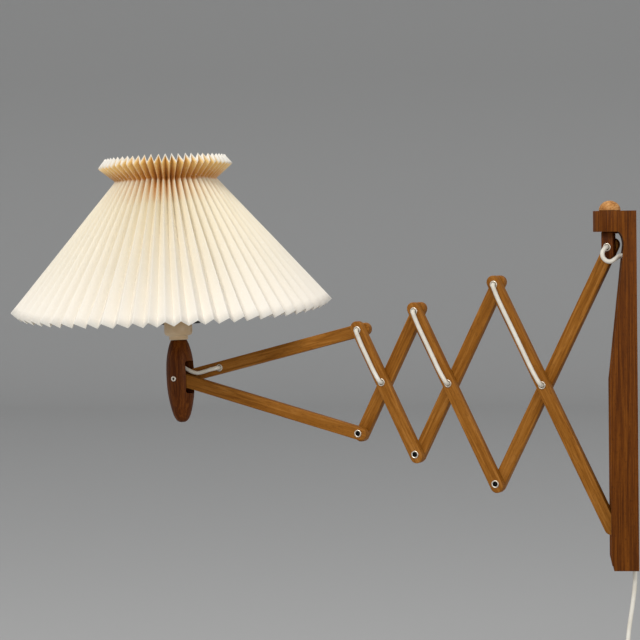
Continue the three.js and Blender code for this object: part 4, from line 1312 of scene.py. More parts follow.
    def cords(self) -> None:
        """The cord's stretches along the bars, from the wall to the head."""
        layout = self.layout
        meet = self.touch / 2
        for k in (1, 2, 3):
            front = self.cord_line(
                Layer.FRONT, 0, -layout.spans[k - 1], (meet, meet), self.cord_slack
            )
            seat = self.seats[f"front_bar_{k}"]
            self.lay_cord(f"flex_front_{k}", front, seat, f"front_arm_{k}", f"cord_front_{k}")
            back = self.cord_line(Layer.BACK, 0, -layout.spans[k], (meet, meet), 0)
            seat = self.seats[f"back_bar_{k}"]
            self.lay_cord(f"flex_back_{k}", back, seat, f"back_arm_{k}", f"cord_back_{k}")
        inside = (layout.inner + layout.outer) / 2
        line = self.cord_line(
            Layer.BACK, 0, self.cord_inset - layout.head_span, (meet, inside + meet), 0
        )
        self.lay_cord(
            "flex_head_bar", line, self.seats["upper_head_bar"], "upper_head_arm", "cord_head_bar"
        )

    def build(self) -> None:
        """Build the whole arm."""
        self.bars()
        self.eyelets()
        self.cords()


@dataclass
class WallBar:
    """The oak bar on the wall with its nosed head, channel and cord groove, and its hanger."""

    top: float = 198 * MM
    bottom: float = -198 * MM
    width: float = 48 * MM
    depth: float = 30 * MM
    neck: float = 13.8 * MM
    taper_z: float = 10 * MM
    foot_high: float = 12 * MM
    foot_deep: float = 2.8 * MM
    head_under: float = 175 * MM
    head_depth: float = 46.5 * MM
    head_flat: float = 27 * MM
    round_deep: float = 7.2 * MM
    round_high: float = 15 * MM
    channel: float = 15.2 * MM
    edge: float = 1.5 * MM
    groove_y: float = -9 * MM
    cord_z: float = 148.5 * MM
    hanger_y: float = 9 * MM
    hanger_z: float = 128 * MM
    keyhole_z: float = 124 * MM
    slot_z: float = 132 * MM
    screw_rise: float = 17 * MM

    def profile(self) -> Outline:
        """Side outline of the bar with the head at full depth, in X and Z."""
        x = -(self.neck + self.round_deep)
        z = self.head_under - self.round_high
        turns = [math.pi / 2 * (1 - i / 12) for i in range(13)]
        notch = [
            (x + self.round_deep * math.cos(t), z + self.round_high * math.sin(t)) for t in turns
        ]
        return [
            (0, self.bottom),
            (0, self.top),
            (-self.head_depth, self.top),
            (-self.head_depth, self.head_under),
            *notch,
            (-self.depth, self.taper_z),
            (-self.depth, self.bottom + self.foot_high),
            (-self.depth + self.foot_deep, self.bottom),
        ]

    def nose_tools(self) -> list[Shape]:
        """The two corners that are cut off the head to leave its round nose."""
        half = self.width / 2
        rise = self.head_depth - self.head_flat
        radius = (half * half + rise * rise) / (2 * rise)
        reach = math.degrees(math.asin(half / radius))
        tools = []
        for way in (1, -1):
            curve = arc(radius - self.head_depth, 0, radius, 180, 180 - way * reach, 20)
            past = -self.head_depth - 5 * MM
            beside = way * (half + 5 * MM)
            outline = [*curve, (-self.head_flat, beside), (past, beside), (past, 0)]
            tools.append(prism(outline, self.head_under - 2 * MM, self.top + 5 * MM))
        return tools

    def bar(self) -> Shape:
        """The carved bar."""
        half = self.width / 2
        low = self.bottom - 4 * MM
        axis = shift(LAYOUT.swivel_x, 0, 0)
        mouth = [(-20, -13), (-20, 13), (-30, 19.5), (-36, 19.5), (-36, -19.5), (-30, -19.5)]
        blank = carved(upright(self.profile(), -half, half), *self.nose_tools())
        cord_hole = moved(about_x(rod(3 * MM, -20 * MM, 0)), shift(0, self.groove_y, self.cord_z))
        seat = moved(self.plate(0.3 * MM, 8.3 * MM, 23.3 * MM), shift(1.0 * MM, 0, 0))
        cut = carved(
            blank,
            moved(rod(self.channel, low, self.head_under, 72), axis),
            prism(in_mm(mouth), low, self.head_under),
            moved(rod(9.25 * MM, self.head_under - 4 * MM, self.top + 4 * MM), axis),
            block((-7.4 * MM, -12.2 * MM, low), (4 * MM, -5.8 * MM, 153 * MM)),
            cord_hole,
            seat,
            block((-6.3 * MM, 3.4 * MM, 119 * MM), (4 * MM, 14.6 * MM, 140 * MM)),
        )
        return eased(cut, self.edge, 48, 3)

    def plate(self, grow: float, half_wide: float, half_high: float) -> Shape:
        """The hanger plate's blank, or the seat that it needs.

        Args:
            grow: How far it reaches past the plate's own faces.
            half_wide: Half its width.
            half_high: Half its height.

        Returns:
            The closed shape.
        """
        outline = rounded(half_high, half_wide, 3 * MM, 6)
        shape = prism(outline, 0.3 * MM - grow, 1.6 * MM + grow)
        turn = Matrix.Rotation(-math.pi / 2, 4, "Y")
        return moved(shape, shift(0, self.hanger_y, self.hanger_z) @ turn)

    def hanger(self) -> None:
        """The keyhole plate let into the back and its two screws."""
        past = 6 * MM
        rounds = [(4.2, self.keyhole_z), (2.2, self.slot_z)]
        rounds += [(3.05, self.hanger_z + way * self.screw_rise) for way in (-1, 1)]
        wide, tip, *holes = [
            moved(about_x(rod(r * MM, -past, past)), shift(0, self.hanger_y, z)) for r, z in rounds
        ]
        half = 2.2 * MM
        slot = block(
            (-past, self.hanger_y - half, self.keyhole_z), (past, self.hanger_y + half, self.slot_z)
        )
        plate = eased(
            carved(self.plate(0, 8 * MM, 23 * MM), wide, slot, tip, *holes), 0.2 * MM, 60, 2
        )
        piece(plate, "steel_hanger_plate", FINISHES.steel, Matrix(), "wall_unit", ["hanger_plate"])
        profile = [
            (0, -9), (1.5, -7.5), (1.5, -0.9), (2.3, -0.85), (2.7, -0.6), (2.8, -0.3), (2.6, -0.16),
            (0, -0.14)
        ]
        for name, way in (("top", 1), ("bottom", -1)):
            axes = shift(0, self.hanger_y, self.hanger_z + way * self.screw_rise)
            screw = about_x(turned(in_mm(profile), 32))
            slit = block((-0.5 * MM, -3 * MM, -0.3 * MM), (0.5 * MM, 3 * MM, 0.3 * MM))
            screw = moved(carved(screw, slit), axes)
            node = f"hanger_screw_{name}"
            piece(screw, f"steel_{node}", FINISHES.steel, axes, "wall_unit", [node])

    def build(self) -> None:
        """Build the bar and its hanger."""
        grain = shift(0.011, 0.007, 0.05)
        piece(self.bar(), "oak_wall_bar", FINISHES.wall_oak, grain, "wall_unit", ["wall_bar"], 30)
        self.hanger()


@dataclass
class Swivel:
    """The dowel with its tongue under the head of the wall bar, and the knob above it."""

    def post(self) -> Shape:
        """Dowel and tongue as one cut piece."""
        half, low, shoulder = 6.8 * MM, 150 * MM, 174.4 * MM
        outline = [(half, shoulder), (-half, shoulder), *arc(0, low, half, 180, 360, 24)]
        tongue = eased(upright(outline, -LAYOUT.outer, -LAYOUT.inner), 0.5 * MM, 55, 3)
        profile = [(0, 173), (9, 173), (9, 198), (5, 198), (5, 203.6), (4.6, 204), (0, 204)]
        dowel = turned(in_mm(profile))
        hole = moved(about_y(rod(3.5 * MM, -20 * MM, 20 * MM)), shift(0, 0, LAYOUT.top_z))
        return carved(carved(tongue, dowel, operation="UNION"), hole)

    def build(self) -> None:
        """Build post and knob."""
        axes = LAYOUT.arm
        piece(
            moved(self.post(), axes), "wood_swivel_post", FINISHES.dark_wood, axes, "swivel",
            ["swivel_post"]
        )
        base, radius, high = 198.3 * MM, 12.1 * MM, 11.2 * MM
        turns = [math.pi / 2 * i / 16 for i in range(17)]
        dome = [(radius * math.cos(t), base + high * math.sin(t)) for t in turns]
        dome[-1] = (0, base + high)
        hole_r, hole_top = 5.25 * MM, base + 6.2 * MM
        profile = [(0, hole_top), (hole_r, hole_top), (hole_r, base), (radius - 0.6 * MM, base)]
        knob = moved(turned([*profile, (radius, base + 0.5 * MM), *dome[1:]], 64), axes)
        grain = axes @ Matrix.Rotation(math.pi / 2, 4, "X")
        piece(knob, "wood_swivel_knob", FINISHES.knob_wood, grain, "swivel", ["swivel_knob"])


@dataclass
class LampHead:
    """Spindle, lampholder, switch, bulb and the wire carrier of the shade."""

    axes: Matrix = field(default_factory=lambda: LAYOUT.head)
    wire: float = 1.25 * MM

    def add(
        self, shape: Shape, name: str, finish: Finish, node: str, body: str = "lamp_head"
    ) -> bpy.types.Object:
        """Carry a shape made in the head's axes to its place."""
        return piece(moved(shape, self.axes), name, finish, self.axes, body, [node])

    def spindle(self) -> None:
        """The turned spindle with its slot and its rivet hole."""
        shares = [
            (0.2, -1), (0.38, -0.965), (0.56, -0.875), (0.7, -0.745), (0.87, -0.5), (0.97, -0.25),
            (1, 0),
            (0.99, 0.27), (0.93, 0.53), (0.83, 0.72), (0.71, 0.88), (0.6, 0.98),
        ]
        wide, up, down = 16.9 * MM, 46 * MM, 53 * MM
        places = [Vector((r * wide, 0, z * (up if z > 0 else down))) for r, z in shares]
        line = smooth_line(places, 1.2 * MM)
        profile = [(0.0, -down), *((p.x, p.z) for p in line), (0.57 * wide, up), (0.0, up)]
        corner, low, high, half = 3 * MM, -18.4 * MM, 20.6 * MM, 10.25 * MM
        slot = [
            *arc(half - corner, low + corner, corner, -90, 0, 8),
            *arc(half - corner, high - corner, corner, 0, 90, 8),
            *arc(-half + corner, high - corner, corner, 90, 180, 8),
            *arc(-half + corner, low + corner, corner, 180, 270, 8),
        ]
        tool = prism(slot, -12 * MM, 24 * MM)
        columns = Matrix(((0, 0, 1), (1, 0, 0), (0, 1, 0))).to_4x4()
        body = carved(
            turned(profile, 96),
            moved(tool, columns),
            about_y(rod(2.35 * MM, -20 * MM, 20 * MM)),
            rod(3.2 * MM, 0, 31 * MM),
            rod(5.3 * MM, 29.7 * MM, 50 * MM),
        )
        self.add(eased(body, 0.45 * MM, 62, 2), "wood_spindle", FINISHES.dark_wood, "spindle")
        end = 17.2 * MM
        rolled = [(0.0, 0.5), (0.2, 0.9), (0.5, 1.0), (0.8, 0.75), (1.0, 0.0)]
        rivet = hollow_rivet(1.4 * MM, 2.1 * MM, 3.3 * MM, 0.8 * MM, (-end, end), rolled, 32)
        rivet = moved(rivet, self.axes)
        piece(
            rivet, "nickel_spindle_rivet", FINISHES.nickel, self.axes, "lamp_head",
            ["spindle_rivet"]
        )

    def shells(self) -> None:
        """Cap, skirt and shade ring of the lampholder."""
        cap = [
            (5.3, 46.3), (10.9, 46.3), (11.4, 46.8), (11.4, 50.4), (11.7, 51), (14.6, 51.6),
            (16.2, 53), (16.9, 55.2),
            (17, 57), (17, 74.6), (16.7, 75.1), (16.7, 76.6), (14.9, 76.6), (14.9, 55.3),
            (11.4, 54.1), (5.3, 54.1),
            (5.3, 46.3),
        ]
        half, reach = 4.1 * MM, 22 * MM
        window = block((-reach, -half, 69 * MM - half), (reach, half, 69 * MM + half))
        shape = eased(carved(turned(in_mm(cap)), window), 0.25 * MM, 65, 2)
        self.add(shape, "cream_holder_cap", FINISHES.cream, "holder_cap")
        skirt = [
            (14.9, 76.9), (16.7, 76.9), (17, 77.3), (17, 84), (20, 84), (20.5, 84.4), (20.5, 85.2),
            (20, 85.6)
        ]
        skirt += ridges(85.6, 102.4, 1.8, [(17, 0), (17, 0.7), (16.4, 1.1), (16.4, 1.4)])
        skirt += [(16.4, 103.5), (14.9, 103.5), (14.9, 76.9)]
        self.add(turned(in_mm(skirt)), "cream_holder_skirt", FINISHES.cream, "holder_skirt")
        ring = [
            (17.3, 88.7), (21.6, 88.7), (22, 89.1), (22, 94.2), (21.5, 94.7), (17.3, 94.7),
            (17.3, 88.7)
        ]
        shape = turned(in_mm(ring), 72)
        grip_r = 21.5 * MM
        rim = [f for f in shape.faces if f.calc_center_median().xy.length > grip_r]
        ribs = [f for f in rim if abs(f.normal.z) < 0.2]
        inset = bmesh.ops.inset_individual(
            shape, faces=ribs[::2], thickness=0.35 * MM, depth=-0.4 * MM
        )
        log.info("shade ring: %d grip ribs", len(inset["faces"]))
        self.add(shape, "cream_shade_ring", FINISHES.cream, "shade_ring")

    def inner_parts(self) -> None:
        """Nipple, nut, insulator, contact and screw shell inside the lampholder."""
        thread = [(3.3, 30), *ridges(30.0, 58.0, 1.0, [(4.55, 0), (5, 0.5)])]
        thread += [(4.55, 58.5), (3.3, 58.5), (3.3, 30)]
        self.add(turned(in_mm(thread), 40), "brass_nipple", FINISHES.brass, "threaded_nipple")
        hexagon = arc(0, 0, 8 * MM, 0, 300, 5)
        nut = carved(prism(hexagon, 54.4 * MM, 58 * MM), rod(5.3 * MM, 50 * MM, 62 * MM))
        self.add(eased(nut, 0.4 * MM, 40, 2), "brass_nut", FINISHES.brass, "nipple_nut")
        disc = [
            (1.75, 77.6), (14, 77.6), (14.6, 78.2), (14.6, 81), (14, 81.6), (4, 81.6), (3.4, 81.2)
        ]
        disc += [(1.75, 81.2), (1.75, 77.6)]
        shape = turned(in_mm(disc))
        self.add(shape, "ceramic_insulator", FINISHES.ceramic, "socket_insulator")
        stem = [
            (0, 75.4), (1.5, 75.4), (1.5, 81.9), (3, 81.9), (3, 82.6), (2.4, 83.6), (1.3, 84.2),
            (0, 84.2)
        ]
        self.add(turned(in_mm(stem), 32), "brass_contact", FINISHES.brass, "centre_contact")
        shell = [(13.6, 81.9), (14.1, 81.9)]
        shell += ridges(83.0, 100.0, 3.6, [(14.1, 0), (13.75, 1.2), (14.1, 2.4)])
        shell += [(14.1, 101), (13.6, 101), (13.6, 81.9)]
        self.add(turned(in_mm(shell)), "brass_screw_shell", FINISHES.brass, "screw_shell")

    def switch(self) -> None:
        """The push bar with domed ends."""
        half = 3.8 * MM
        bar = block((-30 * MM, -half, 69 * MM - half), (29 * MM, half, 69 * MM + half))
        shape = eased(bar, 0.9 * MM, 50, 4)
        self.add(shape, "black_push_bar", FINISHES.black, "push_bar", "switch_bar")

    def bulb(self) -> None:
        """The opal bulb and its screw cap."""
        radius, centre, neck = 30 * MM, 162 * MM, 12.1 * MM
        outer = [(neck, 94 * MM), (neck, 106 * MM)]
        sweep = [
            Vector((neck, 0, 106 * MM)), Vector((12.9 * MM, 0, 113 * MM)),
            Vector((17.5 * MM, 0, 125 * MM))
        ]
        sweep += [Vector((24.5 * MM, 0, 141 * MM))]
        start = math.acos(-0.36)
        turns = [start * (1 - i / 14) for i in range(15)]
        sweep += [Vector((radius * math.sin(t), 0, centre + radius * math.cos(t))) for t in turns]
        outer += [(p.x, p.z) for p in smooth_line(sweep, 1.6 * MM)[1:]]
        outer[-1] = (0, centre + radius)
        inner = [(max(r - MM, 0), h - (MM if h > centre else 0)) for r, h in outer]
        inner[-1] = (0, centre + radius - MM)
        shape = turned([*reversed(inner), *outer], 72)
        self.add(shape, "opal_bulb_glass", FINISHES.opal, "bulb_glass")
        cap = [(0, 84.6), (4.4, 84.6), (6.6, 86.4), (11.8, 88.6), (12.6, 89.4)]
        cap += ridges(90.0, 103.0, 3.6, [(12.4, 0), (13.1, 1.4), (12.4, 2.8)])
        cap += [(12.9, 105), (13.2, 107.6), (12.4, 107.6), (12.4, 93.7), (0, 93.7)]
        self.add(turned(in_mm(cap)), "nickel_bulb_cap", FINISHES.nickel, "bulb_cap")

    def carrier(self) -> None:
        """The wire carrier: hub ring, three spokes and the ring inside the waist."""
        hub_r, hub_z = 18.55 * MM, 87.15 * MM
        ring_r, ring_z, shift = 44.9 * MM, 240.5 * MM, 7.6 * MM
        lines: list[list[Vector]] = []
        for radius, height, offset in ((hub_r, hub_z, 0.0), (ring_r, ring_z, shift)):
            turns = [2 * math.pi * i / 96 for i in range(97)]
            lines.append(
                [
                    Vector(
                        (radius * math.cos(t) - offset, radius * math.sin(t), height)
                    ) for t in turns
                ]
            )
        for i in range(3):
            turn = 2 * math.pi * i / 3
            places = [
                (hub_r, hub_z, 0.0),
                (23.25 * MM, hub_z, 0.0),
                (25.75 * MM, hub_z + self.wire, 0.0),
                (30.5 * MM, 101.6 * MM, 0.0),
                (39 * MM, 116 * MM, 0.0),
                ((ring_r + 39 * MM) / 2, (ring_z + 116 * MM) / 2, shift / 2),
                (ring_r, ring_z, shift),
            ]
            spoke = [Vector((r * math.cos(turn) - s, r * math.sin(turn), z)) for r, z, s in places]
            lines.append(smooth_line(spoke, 3 * MM))
        whole = bmesh.new()
        for line in lines:
            part = bpy.data.meshes.new("wire")
            strand = tube(line, self.wire, 12)
            strand.to_mesh(part)
            strand.free()
            whole.from_mesh(part)
            bpy.data.meshes.remove(part)
        self.add(whole, "steel_shade_carrier", FINISHES.steel, "shade_carrier")

    def flex(self) -> None:
        """The cord from the arm into the slot, and on up inside the lampholder."""
        arm = ScissorArm()
        route = [
            (54.5, 4.8, 0), (54.5, 1.4, 0), (53.9, -1.8, 0.1), (51.8, -4.1, 0.2), (48.3, -4.6, 0.3),
            (43.9, -3.6, 0.4), (38.2, -2.8, 0.1), (30.9, -2.7, -0.1), (24.9, -2.7, 0.6),
            (19.8, -2.7, 3),
            (15.5, -2.7, 6), (11.7, -2.7, 9), (8.3, -2.2, 11.9), (6, -1.2, 14.8), (5.2, -0.4, 17.7),
        ]
        seat = LAYOUT.bar(LAYOUT.rivet, -LAYOUT.head_angle)
        line = smooth_line([seat @ (Vector(p) * MM) for p in route], 1.2 * MM)
        bent_tube(
            line,
            CORD_RADIUS,
            "flex_at_spindle",
            ("upper_head_arm", "lamp_head"),
            "cord_at_spindle",
        )
        inside = [
            (0, 0, 19.2), (0, 0, 32), (0, 0, 46), (0, 0, 57.6), (0, 0.7, 60.1), (0, 2.3, 61.7),
            (0, 4.6, 62.4),
            (0, 7, 63.5), (0, 8.5, 66.2), (0, 8.9, 69.6), (0, 8.9, 75.6),
        ]
        arm.lay_cord(
            "flex_in_spindle", [Vector(p) * MM for p in inside], self.axes, "lamp_head",
            "cord_in_spindle"
        )

    def build(self) -> None:
        """Build everything on the head but the shade."""
        self.spindle()
        self.shells()
        self.inner_parts()
        self.switch()
        self.bulb()
        self.carrier()
        self.flex()


@dataclass
class PleatedShade:
    """One pleated sheet: a wide cone, a narrow waist and a flared collar."""

    axes: Matrix = field(default_factory=lambda: LAYOUT.head @ shift(-7.6 * MM, 0, 0))
    pleats: int = 57
    pleat_width: float = 14.2 * MM
    paper: float = 0.45 * MM
    rim_r: float = 196.8 * MM
    rim_z: float = 89.7 * MM
    rim_oval: float = 26.3 * MM
    oval_power: float = 0.7
    oval_turn: float = math.radians(27)
    waist_r: float = 61.4 * MM
    waist_z: float = 240.5 * MM
    collar_r: float = 81.6 * MM
    collar_z: float = 257.4 * MM
    cone_rows: int = 18
    collar_rows: int = 5
    steps: int = 4
    waist_share: float = 0.8
    wobble: float = 0.6 * MM
    sideways: float = 3.5 * MM
    crease_lift: float = 0.5 * MM

    def mountain(self, turn: float, row: int) -> tuple[float, float, float, float]:
        """The outer fold at a row.

        Args:
            turn: Angle round the shade.
            row: The row, counted from the rim.

        Returns:
            Radius, height and the outward direction's parts in radius and height.
        """
        radius = self.rim_r - self.rim_oval * abs(
            math.sin(turn - self.oval_turn)
        ) ** self.oval_power
        slant = math.hypot(self.rim_r - self.waist_r, self.waist_z - self.rim_z)
        drop = math.sqrt(slant * slant - (radius - self.waist_r) ** 2)
        flare = math.hypot(self.collar_r - self.waist_r, self.collar_z - self.waist_z)
        if row <= self.cone_rows:
            share = row / self.cone_rows
            out = Vector(
                (drop / slant, (radius - self.waist_r) / slant)
            ).lerp(Vector((1, 0)), share)
            r = radius + (self.waist_r - radius) * share
            return r, self.waist_z - drop * (1 - share), out.x, out.y
        share = (row - self.cone_rows) / self.collar_rows
        out_x = (self.collar_z - self.waist_z) / flare
        out_z = -(self.collar_r - self.waist_r) / flare
        out = Vector((1, 0)).lerp(Vector((out_x, out_z)), share)
        r = self.waist_r + (self.collar_r - self.waist_r) * share
        return r, self.waist_z + (self.collar_z - self.waist_z) * share, out.x, out.y

    def depth(self, radius: float) -> float:
        """Depth of the pleats where the outer folds have this radius."""
        half_pitch = math.pi * radius / self.pleats
        return math.sqrt(self.pleat_width**2 - half_pitch**2)

    def place(self, column: int, row: int) -> Vector:
        """A point of the sheet.

        Args:
            column: Count round the shade, with two folds to each pleat.
            row: The row, counted from the rim.

        Returns:
            Its place in the shade's axes.
        """
        crease, step = divmod(column, self.steps)
        share = (0.0, 0.1, 0.5, 0.9)[step]
        ends = []
        for fold in (crease, crease + 1):
            turn = math.pi * fold / self.pleats
            r, z, out_x, out_z = self.mountain(turn, row)
            wobble = self.wobble * noise.noise(Vector((fold * 0.7, row * 0.21, 3.1)))
            inward = (self.depth(r) if fold % 2 else 0.0) + wobble
            spread = self.sideways * noise.noise(Vector((fold * 0.9, row * 0.09, 7.7)))
            spread *= min(1.0, r / self.rim_r)
            turn += spread / r * (1 if fold % 2 else 0.4)
            radius = r - inward * out_x
            ends.append(
                Vector((radius * math.cos(turn), radius * math.sin(turn), z - inward * out_z))
            )
        point = ends[0].lerp(ends[1], share)
        if step == 0:
            centre = Vector((0, 0, point.z))
            lift = self.crease_lift if crease % 2 == 0 else -self.crease_lift
            point = point.lerp(centre, lift / max(point.xy.length, 0.01))
        return point

    def sheet(self) -> bpy.types.Mesh:
        """The pleated sheet with its fold and row values, before it has a thickness."""
        columns = 2 * self.pleats * self.steps
        rows = self.cone_rows + self.collar_rows
        shape = bmesh.new()
        bmesh.ops.create_grid(shape, x_segments=columns, y_segments=rows, size=1.0)
        along = shape.verts.layers.float.new("along")
        fold = shape.verts.layers.float.new("fold")
        for vert in shape.verts:
            column = round((vert.co.x + 1) / 2 * columns)
            row = round((vert.co.y + 1) / 2 * rows)
            crease, step = divmod(column, self.steps)
            if row <= self.cone_rows:
                vert[along] = self.waist_share * row / self.cone_rows
            else:
                above = (1 - self.waist_share) * (row - self.cone_rows) / self.collar_rows
                vert[along] = self.waist_share + above
            near = (1.0, 0.9, 0.5, 0.1)[step]
            vert[fold] = near if crease % 2 == 0 else 1 - near
            vert.co = self.axes @ self.place(column % columns, row)
        bmesh.ops.remove_doubles(shape, verts=shape.verts, dist=1e-5)
        bmesh.ops.recalc_face_normals(shape, faces=shape.faces)
        middle = self.axes @ Vector((0, 0, 0.17))
        face = max(shape.faces, key=lambda f: (f.calc_center_median() - middle).length)
        if face.normal.dot(face.calc_center_median() - middle) < 0:
            bmesh.ops.reverse_faces(shape, faces=shape.faces)
        return mesh_of(shape, "shade_sheet")

    def build(self) -> None:
        """Build the shade and give the paper its thickness."""
        thing = piece(
            self.sheet(), "pleated_shade", FINISHES.paper_outside, self.axes, "lamp_head", ["shade"], 24
        )
        thing.data.materials.append(
            FINISHES.paper_inside.material("pleated_shade_inside", self.axes)
        )
        wall = thing.modifiers.new("paper", "SOLIDIFY")
        wall.thickness = self.paper
        wall.offset = 0.0
        wall.use_even_offset = True
        wall.material_offset = 1
        wall.material_offset_rim = 0


@dataclass
class MainsCord:
    """The free mains cord with its hank, tie and plug, and the cord's way through the wall bar."""

    radius: float = CORD_RADIUS
    loops: float = 5.28
    fold: float = 15.6 * MM
    step: float = 6.5 * MM
    layer: float = 5.9 * MM
    run: float = 80 * MM
    draw: float = 10 * MM
    lead: float = 6 * MM
    tail: float = 42 * MM
    run_share: float = 0.28
    climb: float = 2.5
    route: tuple[Point, ...] = (
        (-3.9, -9, -198.3), (-3.9, -9, -208), (-4.7, -9.6, -220), (-6.6, -11.5, -234),
        (-9.1, -14.6, -249),
        (-11.6, -18.6, -264), (-13.3, -23, -279), (-14.1, -27, -293), (-14.2, -30.3, -307),
        (-13.9, -32.1, -320),
        (-13.6, -32.76, -332), (-13.6, -32.76, -344),
    )
    loop: tuple[Point, ...] = (
        (-28.06, -0.14, 158), (-31.3, -8.2, 158), (-32.4, -11, 158), (-34, -13.6, 157),
        (-36, -15.6, 154.4),
        (-37.2, -16.8, 150.8), (-36.2, -17.4, 146.4), (-32.6, -17.4, 142.9), (-28.3, -16.6, 142.1),
        (-24, -14.6, 144.2), (-20.2, -11.5, 147), (-16.8, -9.4, 148.3), (-13.4, -9, 148.5),
        (-10.6, -9, 148.5),
    )
    groove: tuple[Point, ...] = (
        (-10.3, -9, 148.5), (-8.2, -9, 148.6), (-5.9, -9, 148.1), (-4.4, -9, 146.2),
        (-3.9, -9, 143),
        (-3.9, -9, 138), (-3.9, -9, 60), (-3.9, -9, -60), (-3.9, -9, -180), (-3.9, -9, -198),
    )

    def hank_point(self, turns: float) -> Vector:
        """The hank's line after some turns.

        Args:
            turns: Turns from its start.

        Returns:
            The point in the frame.
        """
        start = Vector(self.route[-1]) * MM
        middle = self.loops / 2
        half = self.fold + abs(turns - middle) * self.step
        rise = min(max((turns - self.climb) / self.run_share, 0.0), 1.0)
        x = start.x + rise * rise * (3 - 2 * rise) * self.layer
        phase = turns - math.floor(turns)
        share = (phase if phase < 0.5 else phase - 0.5) / self.run_share
        way = -1 if phase < 0.5 else 1
        if share <= 1:
            y = way * (half - self.draw * (1 - math.cos(2 * math.pi * share)) / 2)
            z = way * (share - 0.5) * self.run
        else:
            around = (share - 1) / (0.5 / self.run_share - 1)
            y = way * half * math.cos(math.pi * around)
            z = way * (self.run / 2 + half * math.sin(math.pi * around))
        centre_y = start.y + self.fold + middle * self.step
        top = start.z - CORD_GAP - self.lead
        return Vector((x, y + centre_y, z + top - self.run / 2))

    def free_line(self) -> list[Vector]:
        """The whole free cord, from the foot of the wall bar to the plug."""
        line = smooth_line([Vector(p) * MM for p in self.route], 3 * MM)
        count = round(self.loops * 64)
        hank = [self.hank_point(self.loops * i / count) for i in range(count + 1)]
        end = hank[-1] - Vector((0, 0, self.tail))
        count = 14
        tail = [hank[-1].lerp(end, i / count) for i in range(1, count + 1)]
        return [*line, *hank, *tail]

    def free_cord(self, plug: Sequence[bpy.types.Object]) -> None:
        """The free cord as one tube.

        Args:
            plug: The pieces on the cord; it is not used.
        """
        line = self.free_line()
        flex = piece(
            tube(line, self.radius, 12),
            "flex_free",
            FINISHES.jacket,
            Matrix(),
            "wall_unit",
            ["mains_cord", "cord_hank"],
            TUBE_ANGLE,
        )

    def plug(self) -> list[bpy.types.Object]:
        """The plug with its pins, and the hank's tie."""
        end = self.free_line()[-1]
        top = end.z - CORD_GAP
        low = top - 36 * MM
        body_outline = [
            (6, 0), (-6, 0), (-7.4, -7), (-13, -19.8), (-13, -33.5), (-10.5, -36), (10.5, -36),
            (13, -33.5),
            (13, -19.8), (7.4, -7),
        ]
        shape = upright([(x * MM, top + z * MM) for x, z in body_outline], -6.8 * MM, 6.8 * MM)
        seat = shift(end.x, end.y, 0) @ Matrix.Rotation(math.pi / 2, 4, "Z")
        shape = moved(eased(shape, 2.2 * MM, 20, 4), seat)
        quarter = Matrix.Rotation(math.pi / 2, 4, "Z")
        groove = (-20 * MM, -MM, -0.5 * MM), (20 * MM, MM, 0.5 * MM)
        grips = [
            moved(
                block(*groove),
                shift(end.x + way * 7.3 * MM, end.y, low + (20 + 2.2 * i) * MM) @ quarter
            )
            for way in (-1, 1)
            for i in range(5)
        ]
        shape = carved(shape, *grips)
        pieces = [piece(shape, "flex_plug_body", FINISHES.jacket, seat, "wall_unit", ["plug_body"])]
        pin = [(0, -19), (1.2, -19), (1.75, -18.6), (2, -17.8), (2, 4.7), (0, 4.7)]
        for name, way in (("near", -1), ("far", 1)):
            place = shift(end.x, end.y + way * 9.3 * MM, low)
            part = moved(turned(in_mm(pin), 32), place)
            node = f"plug_pin_{name}"
            pieces.append(piece(part, f"brass_{node}", FINISHES.brass, place, "wall_unit", [node]))
        pieces.append(self.tie())
        return pieces

    def tie(self) -> bpy.types.Object:
        """The band round the hank's waist."""
        start = Vector(self.route[-1]) * MM
        outer_r = self.fold + self.loops / 2 * self.step
        half_y = outer_r - self.draw + self.radius + 0.9 * MM
        half_x = self.layer / 2 + self.radius + 0.3 * MM
        thick, high = MM, 9 * MM
        band = prism(rounded(half_x + thick, half_y + thick, self.radius + thick, 8), 0, high)
        band = carved(band, prism(rounded(half_x, half_y, self.radius, 8), -MM, high + MM))
        middle = start.z - CORD_GAP - self.lead - self.run / 2 - high / 2
        centre_y = start.y + outer_r
        place = shift(start.x + self.layer / 2, centre_y, middle)
        shape = moved(eased(band, 0.3 * MM, 50, 2), place)
        return piece(shape, "band_hank_tie", FINISHES.tie, place, "wall_unit", ["hank_tie"])

    def build_free(self) -> None:
        """Build the free cord with what is on it."""
        self.free_cord(self.plug())

    def build_held(self) -> None:
        """Build the loop at the swivel and the stretch in the wall bar."""
        line = smooth_line([Vector(p) * MM for p in self.loop], 1.2 * MM)
        bent_tube(
            line, self.radius, "flex_loop", ("wall_unit", "swivel"), "cord_loop"
        )
        line = smooth_line([Vector(p) * MM for p in self.groove], 2 * MM)
        shape = tube(line, self.radius, 12)
        piece(
            shape, "flex_in_groove", FINISHES.jacket, Matrix(), "wall_unit", ["cord_in_wall_bar"],
            TUBE_ANGLE
        )


